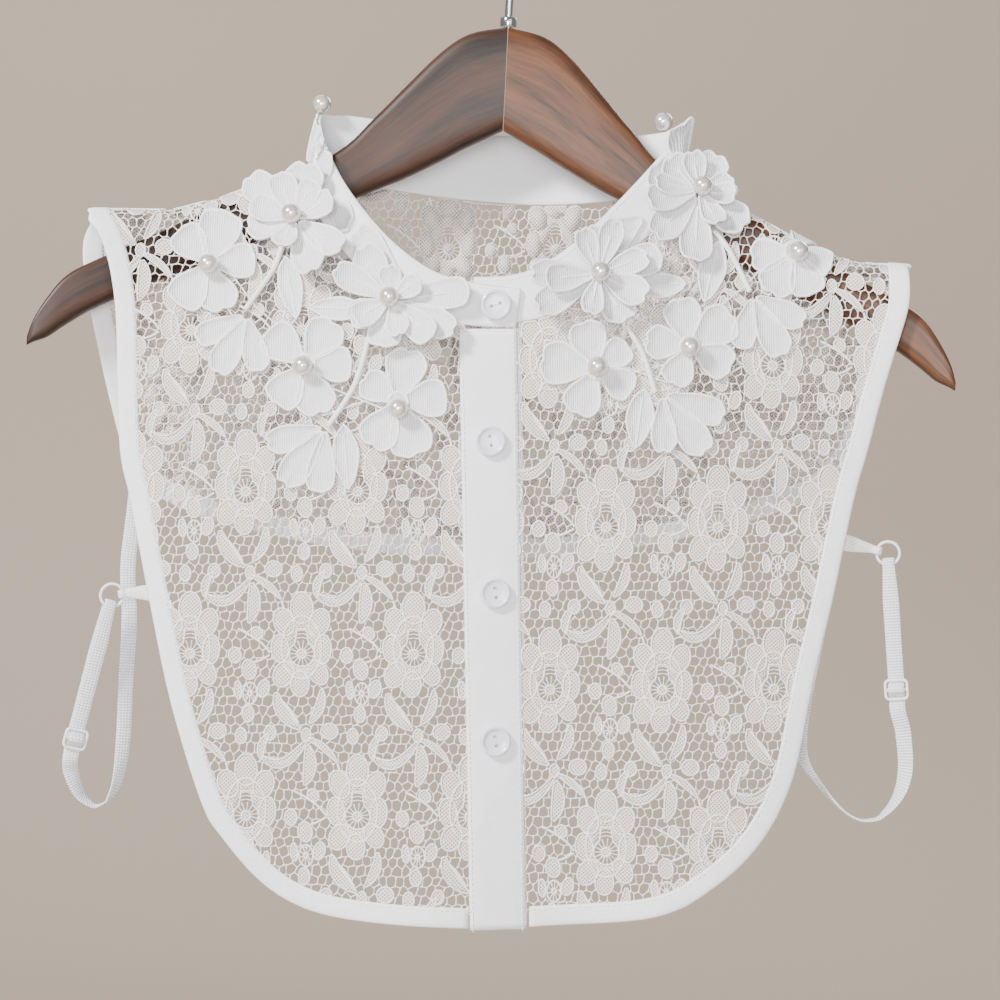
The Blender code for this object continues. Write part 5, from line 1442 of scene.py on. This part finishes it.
# Heavy lace: guipure flowers, bells, leaves and stems, machine-stitched solid on a ground
# that is dissolved afterwards, sewn over the lace as one piece on each side. A raised cord
# edges each petal, and bars join the motifs. Flowers and bells are x, z and each petal's turn
# and length; leaves are x, z, length, width and turn.
APPLIQUE_LIFT = 1.4
LEAF_LIFT = 1.25
PETAL_STEP = 0.12
PEARL_RING = 4.7
PEARL_RING_RISE = 0.6
APPLIQUE = {
    "applique_left": {
        "side": -1,
        "flowers": (
            (-129.8, -174.3, ((131, 20), (75, 24), (6, 20), (-72, 21), (-126, 22))),
            (-88.7, -217.2, ((138, 22), (58, 22), (0, 20), (-73, 22), (-127, 21))),
            (-49.6, -233.0, ((78, 23), (6, 21), (-71, 24), (-122, 22), (146, 18))),
        ),
        "bells": (
            (-113.5, -196.0, ((206, 24), (243, 28), (283, 25))),
            (-80.0, -243.5, ((196, 26), (234, 30), (264, 28))),
        ),
        "leaves": (
            (-95.2, -184.5, 28.0, 10.6, 101.0), (-75.5, -193.5, 25.0, 10.4, -3.0),
            (-71.4, -256.0, 28.0, 11.5, 95.0),
            (-62.0, -170.0, 21.0, 11.0, 118.0), (-52.0, -186.0, 24.0, 12.0, 128.0),
        ),
        "stems": (
            ((-99.0, -166.0), (-103.0, -177.0), (-114.4, -194.0)),
            ((-62.0, -206.0), (-68.0, -226.0), (-79.0, -243.0)),
        ),
    },
    "applique_right": {
        "side": -1,
        "flowers": (
            (33.5, -219.2, ((105, 21), (38, 17), (-31, 18), (-115, 21), (171, 24))),
            (72.8, -209.4, ((102, 21), (36, 23), (-27, 20), (-115, 18), (173, 19))),
            (118.0, -169.0, ((186, 19), (-122, 21), (-70, 20), (-20, 17), (65, 15))),
        ),
        "bells": (
            (99.6, -187.5, ((257, 24), (296, 29), (331, 25))),
            (61.1, -229.5, ((340, 28), (306, 31), (272, 25))),
        ),
        "leaves": (
            (82.5, -177.4, 28.0, 12.0, 76.0), (60.0, -183.7, 24.0, 11.0, 5.0),
            (51.5, -240.0, 26.0, 12.0, 82.0),
            (50.0, -172.0, 22.0, 11.0, 62.0), (40.0, -188.0, 22.0, 11.0, 58.0),
        ),
        "stems": (
            ((84.0, -160.0), (90.0, -168.0), (98.5, -186.0)),
            ((46.0, -201.0), (53.0, -213.0), (58.0, -229.0)),
        ),
    },
    "applique_back_left": {
        "side": 1,
        "flowers": (
            (-104.0, -162.0, ((20, 18), (92, 17), (165, 18), (236, 18), (310, 17))),
            (-133.0, -176.0, ((50, 16), (120, 16), (196, 15), (262, 17), (336, 16))),
            (-80.0, -188.0, ((22, 17), (96, 16), (170, 18), (240, 17), (312, 17))),
        ),
        "bells": (),
        "leaves": ((-107.0, -189.0, 25.0, 11.0, 75.0), (-60.0, -171.0, 25.0, 10.0, 30.0)),
        "stems": (((-106.0, -166.0), (-108.0, -180.0)), ((-96.0, -172.0), (-86.0, -180.0)),
                  ((-78.0, -180.0), (-68.0, -173.0)), ((-114.0, -168.0), (-124.0, -172.0))),
    },
    "applique_back_right": {
        "side": 1,
        "flowers": (
            (88.0, -172.0, ((20, 18), (92, 17), (165, 18), (236, 18), (310, 17))),
            (118.0, -190.0, ((50, 16), (120, 16), (196, 15), (262, 17), (336, 16))),
            (64.0, -196.0, ((22, 17), (96, 16), (170, 18), (240, 17), (312, 17))),
        ),
        "bells": (),
        "leaves": ((93.0, -198.0, 25.0, 11.0, 105.0), (45.0, -178.0, 25.0, 10.0, 150.0)),
        "stems": (((90.0, -176.0), (93.0, -190.0)), ((80.0, -180.0), (70.0, -190.0)),
                  ((62.0, -188.0), (52.0, -180.0)), ((98.0, -176.0), (108.0, -184.0))),
    },
}
NECK_CLEARANCE = 2.4
FLOWER_FULLNESS = 0.385
BELL_FULLNESS = 0.225
PETAL_SHAPE = (
    (0.06, 0.0), (0.12, 0.3), (0.26, 0.5), (0.45, 0.82), (0.64, 1.0), (0.81, 0.98), (0.93, 0.74),
    (0.99, 0.36), (0.97, 0.0),
)
LEAF_SHAPE = (
    (-0.5, 0.0), (-0.42, 0.32), (-0.28, 0.66), (-0.08, 0.96), (0.1, 1.0), (0.28, 0.78), (0.42, 0.4),
    (0.5, 0.0),
)
MOTIF_WALL = ((0.0, -0.2), (0.0, 0.45), (0.3, 0.92), (0.8, 0.92), (1.15, 0.4))
DOME_SHARE = 0.45
DOME_RISE = 0.62
CROWN_RISE = 0.55
STEM_RADIUS = 1.15
STEM_RISE = 0.69
VEIN_RADIUS = 0.42
LEAF_VEIN = (-0.42, -0.28, -0.14, 0.0, 0.12, 0.24, 0.34)
BAR_RADIUS = 0.36
BAR_REACH = 50.0
BAR_SWAY = 5.0
BAR_STEP = 2.5
STAND_STANDOFF = 1.4
STAND_CURL = 6.0
STAND_CURL_START = 0.75
STAND_FACE = 19.0
STATION_LENGTH = 2.4

# Guipure cord: satin-stitched over a filling thread, bright and nearly smooth.
satin_cord, tree, shader = surface("guipure_cord", "#fbfbfe", 0.6, (("Sheen Weight", 0.25),))
place = add(tree, "ShaderNodeTexCoord")
lay = add(tree, "ShaderNodeTexWave", values=(("Scale", 420.0), ("Distortion", 2.0), ("Detail", 1.0)),
          links=(("Vector", place.outputs["Object"]),), bands_direction="DIAGONAL")
tinted(tree, shader, lay.outputs["Fac"], "#eff0f5", "#ffffff")
raised(tree, shader, lay.outputs["Fac"], 0.1)

# Guipure filling: rows of stitches 0.9 mm apart in bright cotton, with the pinholes of the
# needle between them, a little greyer than the cord from the shade in its hollows.
stitched_fill, tree, shader = surface("guipure_filling", "#ededf2", 0.78, (("Sheen Weight", 0.15),))
stitch_uv = add(tree, "ShaderNodeUVMap", uv_map="cloth")
rows_of = add(tree, "ShaderNodeTexWave", values=(("Scale", 330.0), ("Distortion", 3.0), ("Detail", 3.0)),
              links=(("Vector", stitch_uv.outputs["UV"]),), bands_direction="X")
pinholes = add(tree, "ShaderNodeTexVoronoi", values=(("Scale", 900.0),),
               links=(("Vector", stitch_uv.outputs["UV"]),))
pricks = add(tree, "ShaderNodeMapRange", values=(("From Min", 0.05), ("From Max", 0.34)),
             links=(("Value", pinholes.outputs["Distance"]),))
relief = add(tree, "ShaderNodeMath", links=((0, rows_of.outputs["Fac"]), (1, pricks.outputs["Result"])),
             operation="MULTIPLY")
tinted(tree, shader, relief.outputs["Value"], "#d8d9e0", "#f8f8fb")
raised(tree, shader, relief.outputs["Value"], 0.17)


class Motif:
    """Heavy-lace petals gathered into one mesh: slot 0 is the raised cord, slot 1 the filling."""

    def __init__(self):
        self.points = []
        self.faces = []
        self.uvs = []
        self.slots = []

    def plate(self, outline, put):
        """One petal: put gives a point for flat coordinates and a height."""
        count = len(outline)
        middle = (sum(p[0] for p in outline) / count, sum(p[1] for p in outline) / count)
        reach = [math.dist(point, middle) for point in outline]
        rings = [[1 - min(0.8, inset / max(far, 0.1)) for far in reach] for inset, _ in MOTIF_WALL]
        heights = [height for _, height in MOTIF_WALL]
        rings.append([share * DOME_SHARE for share in rings[-1]])
        heights.append(DOME_RISE)
        start = len(self.points)
        for shares, height in zip(rings, heights):
            for (x, y), share in zip(outline, shares):
                flat = (middle[0] + (x - middle[0]) * share, middle[1] + (y - middle[1]) * share)
                self.points.append(put(*flat, height))
                self.uvs.append(flat)
        crown = len(self.points)
        self.points.append(put(*middle, CROWN_RISE))
        self.uvs.append(middle)
        for ring in range(len(rings) - 1):
            for i in range(count):
                a = start + ring * count
                j = (i + 1) % count
                self.faces.append((a + i, a + j, a + count + j, a + count + i))
                self.slots.append(0 if ring < len(MOTIF_WALL) - 1 else 1)
        last = start + (len(rings) - 1) * count
        self.faces += [(last + i, last + (i + 1) % count, crown) for i in range(count)]
        self.slots += [1] * count
        self.faces.append(tuple(range(start + count - 1, start - 1, -1)))
        self.slots.append(1)

    def made(self):
        """The petals as one object."""
        return shell("plates", self.points, self.faces, self.uvs, [satin_cord, stitched_fill], self.slots)


def shaped(x, y, turn, shape, length, half):
    """The outline of a petal or leaf from a table of its half widths along it."""
    angle = math.radians(turn)
    near = smooth(shape, 2)
    whole = near + [(u, -w) for u, w in near[-2:0:-1]]
    made = []
    for index, (u, w) in enumerate(whole):
        frill = 1 + 0.016 * math.sin(index * 1.3 + turn)
        along, aside = u * length * frill, w * half * frill
        made.append((x + along * math.cos(angle) - aside * math.sin(angle),
                     y + along * math.sin(angle) + aside * math.cos(angle)))
    return made


def fence_of(neck, turned_by):
    """The area above the stand's seam, where no heavy lace may lie."""
    fence = inward(neck, NECK_CLEARANCE * turned_by)
    return fence + [(fence[-1][0], 0.0), (fence[0][0], 0.0)]


def laid_on(side, fence, lift):
    """Gives the point of the collar for flat coordinates and a height over the lace."""
    def put(x, level, height):
        level = min(level, crest(x) - 0.5)
        if inside((x, level), fence):
            x, level = nearest((x, level), fence)
        return cloth(x, level, side, lift + height)
    return put


def on_stand(station, share, out):
    """A point over the outside of the collar stand: along its seam, up it, and off it."""
    index = max(0, min(len(seam_points) - 2, int(station)))
    part = station - index
    low = seam_points[index].lerp(seam_points[index + 1], part)
    high = top_points[index].lerp(top_points[index + 1], part)
    along = (seam_points[index + 1] - seam_points[index]).normalized()
    away = (high - low).cross(along).normalized()
    if away.dot(Vector((low.x - MIDDLE_X, low.y, 0.0))) < 0:
        away = -away
    return low + (high - low) * share + away * out


# Petals sewn over the outside of the stand: station along its seam and share of its height
# at the foot, turn, length and half width.
STAND_PETALS = {
    "applique_left": (
        (22.0, 0.42, 4.0, 28.0, 8.0), (42.0, 0.4, 172.0, 18.0, 6.0), (45.0, 0.1, 72.0, 18.0, 6.5),
        (51.0, 0.05, 84.0, 19.0, 7.0), (57.5, 0.05, 96.0, 19.0, 7.0),
    ),
    "applique_right": (
        (129.0, 0.12, 84.0, 23.0, 5.5), (123.0, 0.05, 96.0, 18.0, 7.0),
        (135.5, 0.1, 98.0, 17.0, 6.5), (141.0, 0.35, 8.0, 20.0, 6.0),
    ),
}
FENCES = {
    "applique_left": fence_of(neck_left, 1), "applique_right": fence_of(neck_right, -1),
    "applique_back_left": fence_of(neck_back, -1), "applique_back_right": fence_of(neck_back, -1),
}
for node, group in APPLIQUE.items():
    side = group["side"]
    motif = Motif()
    veins = []
    for x, z, length, width, turn in group["leaves"]:
        put = laid_on(side, FENCES[node], LEAF_LIFT)
        motif.plate(shaped(x, level_of(x, z), turn, LEAF_SHAPE, length, width / 2), put)
        heading = Vector((math.cos(math.radians(turn)), math.sin(math.radians(turn)))) * length
        veins.append([put(x + heading.x * t, level_of(x, z) + heading.y * t, 0.6) for t in LEAF_VEIN])
    for kind, fullness in (("bells", BELL_FULLNESS), ("flowers", FLOWER_FULLNESS)):
        for x, z, petals in group[kind]:
            level = level_of(x, z)
            for index, (turn, length) in enumerate(petals):
                put = laid_on(side, FENCES[node], APPLIQUE_LIFT + PETAL_STEP * index)
                motif.plate(shaped(x, level, turn, PETAL_SHAPE, length, length * fullness), put)
            if kind == "flowers":
                put = laid_on(side, FENCES[node], APPLIQUE_LIFT + PEARL_RING_RISE)
                motif.plate(oval(x, level, PEARL_RING, PEARL_RING, 0.0, 20), put)
    for station, foot, turn, length, half in STAND_PETALS.get(node, ()):
        def put(x, y, height, station=station, foot=foot):
            share = foot + y / STAND_FACE
            curl = STAND_CURL * max(0.0, share - STAND_CURL_START) ** 2
            return on_stand(station + x / STATION_LENGTH, share, STAND_STANDOFF + height + curl)

        motif.plate(shaped(0.0, 0.0, turn, PETAL_SHAPE, length, half), put)
    put = laid_on(side, FENCES[node], APPLIQUE_LIFT)
    stems = []
    for line in group["stems"]:
        run = resample(smooth([(x, level_of(x, z)) for x, z in line], 6), 2.0)
        stems.append([put(x, level, STEM_RISE) for x, level in run])
    bars = []
    anchors = [(x, level_of(x, z)) for x, z, _ in group["flowers"] + group["bells"]]
    for i, first in enumerate(anchors):
        for second in anchors[i + 1:]:
            if math.dist(first, second) < BAR_REACH:
                for sway in (-BAR_SWAY, BAR_SWAY):
                    run = resample(inward([first, second], sway), BAR_STEP)
                    bars.append([put(x, level, 0.0) for x, level in run])
    made = [motif.made()]
    for lines, radius, sides in ((stems, STEM_RADIUS, 8), (veins, VEIN_RADIUS, 6), (bars, BAR_RADIUS, 5)):
        if lines:
            made.append(object_of("threads", threads("threads", lines, radius, sides, satin_cord)))
    placed(joined(node + "_guipure", made), node)

# Raised flowers: two tiers of the same heavy lace, caught down under a pearl so that their
# petals stand free of the collar and cup forward. Each is x, y, z, pitch and yaw, then the
# lower and the upper petals' turn, length and half width.
RAISED_FLOWERS = {
    "flower_left_neck": (
        (-92.9, -26.8, -156.3, 20.0, -14.0),
        ((139, 31, 7.5), (84, 26, 9.0), (190, 21, 7.0), (-67, 27, 7.2), (-33, 27, 6.2)),
        ((24, 19, 6.0), (112, 21, 6.2), (-102, 15, 5.5), (163, 20, 6.0), (62, 18, 5.5))),
    "flower_left_front": (
        (-51.8, -38.1, -190.6, 9.0, -10.0),
        ((6, 34, 6.8), (-27, 31, 6.2), (-100, 21, 7.5), (121, 27, 7.0), (205, 20, 6.5)),
        ((152, 27, 6.0), (92, 14, 5.0), (212, 18, 6.0), (-73, 17, 5.2), (-44, 26, 6.4), (30, 15, 5.0))),
    "flower_right_front": (
        (33.6, -37.0, -180.0, 9.0, 10.0),
        ((209, 31, 6.5), (179, 29, 6.0), (18, 29, 7.0), (-59, 23, 7.5), (90, 21, 6.0)),
        ((188, 24, 6.2), (111, 20, 5.2), (72, 24, 5.4), (20, 22, 5.4), (-28, 22, 6.8), (-105, 19, 5.0))),
    "flower_right_neck": (
        (77.0, -17.3, -144.0, 22.0, 14.0),
        ((-100, 34, 7.4), (-136, 31, 7.2), (-42, 25, 8.6), (127, 20, 7.5), (60, 21, 7.0), (14, 17, 6.5)),
        ((-165, 26, 6.4), (174, 21, 5.0), (98, 17, 5.5), (-72, 18, 5.5), (-12, 15, 5.5))),
}
TIERS = (("lower", 1.3, 1.8), ("upper", 3.3, 4.0))
FRILL_RISE = 0.6
OVERLAP_STEP = 0.25
PETAL_VEIN = (0.2, 0.3, 0.4, 0.5, 0.6, 0.68)
PETAL_VEIN_RISE = 0.62


def frame_of(x, y, z, pitch, yaw):
    """Origin and axes of a raised flower: across, up and out toward the viewer."""
    tip = math.radians(pitch)
    swing = math.radians(yaw)
    out = Vector((math.sin(swing) * math.cos(tip), -math.cos(swing) * math.cos(tip), math.sin(tip)))
    across = Vector((0.0, 0.0, 1.0)).cross(out).normalized()
    return Vector((x, y, z)), across, out.cross(across), out


for name, (frame_values, *tiers) in RAISED_FLOWERS.items():
    origin, across, up, out = frame_of(*frame_values)
    for (tier_name, rise, cup), petals in zip(TIERS, tiers):
        motif = Motif()
        veins = []
        for index, (turn, length, half) in enumerate(petals):
            def put(u, v, height, index=index, length=length, turn=turn):
                far = math.hypot(u, v) / length
                curl = cup * far ** 2 + FRILL_RISE * far ** 3 * math.sin(math.atan2(v, u) * 7 + turn)
                stack = rise + OVERLAP_STEP * (index % 3)
                return origin + across * u + up * v + out * (stack + curl + height)

            motif.plate(shaped(0.0, 0.0, turn, PETAL_SHAPE, length, half), put)
            angle = math.radians(turn)
            veins.append([put(length * t * math.cos(angle), length * t * math.sin(angle), PETAL_VEIN_RISE)
                          for t in PETAL_VEIN])
        vein_cords = object_of("veins", threads("veins", veins, VEIN_RADIUS, 6, satin_cord))
        flower = joined(f"{name}_{tier_name}_petals", [motif.made(), vein_cords])
        placed(flower, f"{name}_{tier_name}")

# Pearls: glass-bead imitation pearls, 8.4 mm, drilled through for the thread, with a warm
# lustre under a clear skin.
pearl_skin, tree, shader = surface("pearl_lustre", "#e6e2dc", 0.2, (
    ("IOR", 1.6), ("Coat Weight", 1.0), ("Coat Roughness", 0.04), ("Metallic", 0.55)))
place = add(tree, "ShaderNodeTexCoord")
nacre = add(tree, "ShaderNodeTexNoise", values=(("Scale", 220.0), ("Detail", 3.0)),
            links=(("Vector", place.outputs["Object"]),))
# Layer Weight paints each pearl darker toward its rim: a painted dark reflection, mixed with the nacre's
# own random tone.
painted_rim_reflection = add(tree, "ShaderNodeLayerWeight", values=(("Blend", 0.35),))
nacre_and_painted_rim = add(tree, "ShaderNodeMath", values=((1, 0.3),), links=((0, nacre.outputs["Fac"]),
            (2, painted_rim_reflection.outputs["Facing"])), operation="MULTIPLY_ADD")
tinted(tree, shader, nacre_and_painted_rim.outputs["Value"], "#f4f1ec", "#aaa49d")
raised(tree, shader, nacre.outputs["Fac"], 0.02, 0.4)
PEARL_RADIUS = 4.2
PEARL_STEPS = 14
for side_name in ("left", "right"):
    for where in ("shoulder", "middle", "low", "neck", "front", "crest"):
        node = f"pearl_{side_name}_{where}"
        low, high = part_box(node)
        middle = (Vector(low) + Vector(high)) / 2 / MM
        profile = [(PEARL_RADIUS * math.sin(math.pi * i / PEARL_STEPS),
                    -PEARL_RADIUS * math.cos(math.pi * i / PEARL_STEPS)) for i in range(1, PEARL_STEPS)]

        def put(x, y, z, middle=middle):
            return middle + Vector((x, y, z))

        placed(shell(node + "_bead", *lathe(profile, 24, put), [pearl_skin]), node)

# Buttons: pressed casein, 12.8 mm, dished with a raised rim and two holes, sewn with thread.
casein, tree, shader = surface("pearly_casein", "#e0e1f1", 0.26, (("Coat Weight", 0.3), ("IOR", 1.5)))
place = add(tree, "ShaderNodeTexCoord")
cloudy = add(tree, "ShaderNodeTexNoise", values=(("Scale", 260.0), ("Detail", 4.0), ("Distortion", 1.2)),
             links=(("Vector", place.outputs["Object"]),))
tinted(tree, shader, cloudy.outputs["Fac"], "#d4d6ea", "#ecedf7")
raised(tree, shader, cloudy.outputs["Fac"], 0.03, 0.5)
BUTTON_PROFILE = (
    (0.001, 1.75), (2.4, 1.75), (4.3, 1.85), (4.8, 2.1), (5.2, 2.55), (5.6, 2.65), (6.05, 2.45),
    (6.35, 1.9), (6.4, 1.3), (6.1, 0.5), (5.5, 0.05), (0.001, 0.0),
)
# Buttons: x, z, turn of the holes, and how far the placket lifts each.
BUTTONS = ((-8.7, -192.5, 20.0, 0.6), (-11.0, -249.4, 98.0, 0.1), (-9.1, -312.8, 98.0, 0.1),
           (-9.1, -374.7, 100.0, 0.1))
BUTTON_SEAT = 1.6
HOLE_SPREAD = 1.8
HOLE_RADIUS = 0.75
DRILL_PROFILE = ((0.001, 6.0), (HOLE_RADIUS, 6.0), (HOLE_RADIUS, -6.0), (0.001, -6.0))
MERGE_GAP = 0.00001
SHANK_ASIDE = 0.2
SHANK_PATH = (
    (-HOLE_SPREAD, 0.6), (-HOLE_SPREAD, 1.7), (0.0, 1.86), (HOLE_SPREAD, 1.7), (HOLE_SPREAD, 0.6),
)


def turned(name, profile, sides, put):
    """A solid turned from a profile, with its poles closed and its faces outward."""
    obj = shell(name, *lathe(profile, sides, put), [casein])
    form = bmesh.new()
    form.from_mesh(obj.data)
    bmesh.ops.remove_doubles(form, verts=form.verts, dist=MERGE_GAP)
    bmesh.ops.recalc_face_normals(form, faces=form.faces)
    form.to_mesh(obj.data)
    form.free()
    return obj


thread_bars = []
for number, (x, z, turn, seat) in enumerate(BUTTONS, start=1):
    base = cloth(x, z, -1, BUTTON_SEAT)
    beside = cloth(x + 1, z, -1, BUTTON_SEAT) - base
    above = cloth(x, z + 1, -1, BUTTON_SEAT) - base
    facing = beside.cross(above).normalized()
    basis = facing.to_track_quat("Z", "Y") @ Quaternion((0, 0, 1), math.radians(turn))
    centre = base + facing * seat

    def put(u, v, w, basis=basis, centre=centre):
        return centre + basis @ Vector((u, v, w))

    button = turned(f"button_{number}_casein", BUTTON_PROFILE, 48, put)
    drills = []
    for direction in (-1, 1):
        def bored(u, v, w, direction=direction):
            return put(u + direction * HOLE_SPREAD, v, w)

        drill = turned("drill", DRILL_PROFILE, 20, bored)
        cut = button.modifiers.new("hole", "BOOLEAN")
        cut.object = drill
        cut.operation = "DIFFERENCE"
        drills.append(drill)
    graph = bpy.context.evaluated_depsgraph_get()
    graph.update()
    bored_mesh = bpy.data.meshes.new_from_object(button.evaluated_get(graph))
    for drill in drills:
        bpy.data.objects.remove(drill)
    bpy.data.objects.remove(button)
    bored_mesh.shade_smooth()
    bored_mesh.set_sharp_from_angle(angle=math.radians(35))
    button = object_of(f"button_{number}_casein", bored_mesh)
    placed(button, f"button_{number}")
    thread_bars += [[put(across, aside, rise) for across, rise in SHANK_PATH]
                    for aside in (-SHANK_ASIDE, SHANK_ASIDE)]

# Sewing: white cotton thread, lockstitched at 2.4 mm along the bound edges, hem, placket and
# stand, with the shanks of the buttons.
STITCH_PITCH = 2.4
STITCH_LENGTH = 2.0
STITCH_THICK = 0.42
SHANK_RADIUS = 0.14
sewing = thread_of("sewing_thread", "#dfe1ea", "#ffffff")


def stitch_tree():
    """Node tree that lays separate stitches along lines."""
    tree, given = maker_tree("lockstitch", (
        ("Pitch", "NodeSocketFloat"), ("Length", "NodeSocketFloat"), ("Thickness", "NodeSocketFloat"),
        ("Finish", "NodeSocketMaterial")))
    line = add(tree, "GeometryNodeMeshToCurve", links=(("Mesh", given.outputs["Geometry"]),))
    spaced = add(tree, "GeometryNodeResampleCurve", mode="LENGTH",
                 links=(("Curve", line.outputs["Curve"]), ("Length", given.outputs["Pitch"])))
    bead = add(tree, "GeometryNodeMeshUVSphere", values=(("Segments", 6), ("Rings", 5), ("Radius", 0.5)))
    heading = add(tree, "GeometryNodeInputTangent")
    turned = add(tree, "FunctionNodeAlignRotationToVector", links=(("Vector", heading.outputs["Tangent"]),))
    size = add(tree, "ShaderNodeCombineXYZ", links=(("X", given.outputs["Thickness"]),
               ("Y", given.outputs["Thickness"]), ("Z", given.outputs["Length"])))
    sewn = add(tree, "GeometryNodeInstanceOnPoints", links=(
        ("Points", spaced.outputs["Curve"]), ("Instance", bead.outputs["Mesh"]),
        ("Rotation", turned.outputs["Rotation"]), ("Scale", size.outputs["Vector"])))
    finished(tree, given, sewn.outputs["Instances"])
    return tree


stitches = object_of("stitches", grown_mesh(
    "stitches", *strung(stitch_lines), stitch_tree(),
    {"Pitch": STITCH_PITCH * MM, "Length": STITCH_LENGTH * MM, "Thickness": STITCH_THICK * MM,
     "Finish": sewing}))
shanks = object_of("shanks", threads("shanks", thread_bars, SHANK_RADIUS, 5, sewing))
all_sewing = joined("sewing_threads", [stitches, shanks])
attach(all_sewing, "root")

# Backdrop and light: a pale paper sweep below and well behind, soft studio panels with the
# brighter one from the upper left, a low one from behind, and one on the paper alone.
paper, tree, shader = surface("warm_grey_paper", "#bfb0a2", 0.9)
place = add(tree, "ShaderNodeTexCoord")
tooth = add(tree, "ShaderNodeTexNoise", values=(("Scale", 700.0), ("Detail", 2.0)),
            links=(("Vector", place.outputs["Object"]),))
tinted(tree, shader, tooth.outputs["Fac"], "#bcad9f", "#c3b4a6")
PAPER_FLOOR = -760.0
PAPER_NEAR = -3000.0
PAPER_WALL = 2400.0
PAPER_BEND = 700.0
PAPER_TOP = 2600.0
PAPER_HALF_WIDTH = 3600.0
sweep_section = [(PAPER_NEAR, PAPER_FLOOR), (PAPER_WALL - PAPER_BEND, PAPER_FLOOR)]
for degrees in range(0, 91, 6):
    angle = math.radians(degrees)
    sweep_section.append((PAPER_WALL - PAPER_BEND + PAPER_BEND * math.sin(angle),
                          PAPER_FLOOR + PAPER_BEND - PAPER_BEND * math.cos(angle)))
sweep_section.append((PAPER_WALL, PAPER_TOP))
points = [(x, y, z) for y, z in sweep_section for x in (-PAPER_HALF_WIDTH, PAPER_HALF_WIDTH)]
faces = [(2 * i, 2 * i + 1, 2 * i + 3, 2 * i + 2) for i in range(len(sweep_section) - 1)]
sweep_mesh = bpy.data.meshes.new("paper_sweep")
sweep_mesh.from_pydata([Vector(point) * MM for point in points], [], faces)
sweep_mesh.materials.append(paper)
sweep_mesh.shade_smooth()
object_of("paper_sweep", sweep_mesh)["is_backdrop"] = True
COLLAR_MIDDLE = (0.0, 0.0, -0.27)
for name, place, aim, size, power, color in (
    ("key", (-1.15, -1.2, 0.85), COLLAR_MIDDLE, 0.32, 80.0, (1.0, 0.98, 0.95)),
    ("fill", (1.0, -1.9, 0.1), COLLAR_MIDDLE, 1.2, 10.0, (0.94, 0.97, 1.0)),
    ("front", (-0.2, -2.2, -0.1), COLLAR_MIDDLE, 0.8, 42.0, (1.0, 1.0, 1.0)),
    ("back", (0.9, 1.4, 0.7), COLLAR_MIDDLE, 0.8, 16.0, (1.0, 0.98, 0.95)),
    ("paper", (-0.5, 1.1, 1.5), (-0.1, 2.4, -0.4), 1.6, 17.0, (1.0, 0.98, 0.96)),
):
    glow = bpy.data.lights.new(name, "AREA")
    glow.size = size
    glow.energy = power
    glow.color = color
    lamp = bpy.data.objects.new(name, glow)
    lamp.location = place
    lamp.rotation_euler = (Vector(aim) - Vector(place)).to_track_quat("-Z", "Y").to_euler()
    bpy.context.scene.collection.objects.link(lamp)
sky = bpy.data.worlds.new("studio")
sky.use_nodes = True
sky.node_tree.nodes["Background"].inputs["Color"].default_value = (1.0, 1.0, 1.0, 1.0)
sky.node_tree.nodes["Background"].inputs["Strength"].default_value = 0.3
bpy.context.scene.world = sky

[[list(map(float, corner)) for corner in box] for box in (solid_box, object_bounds())]
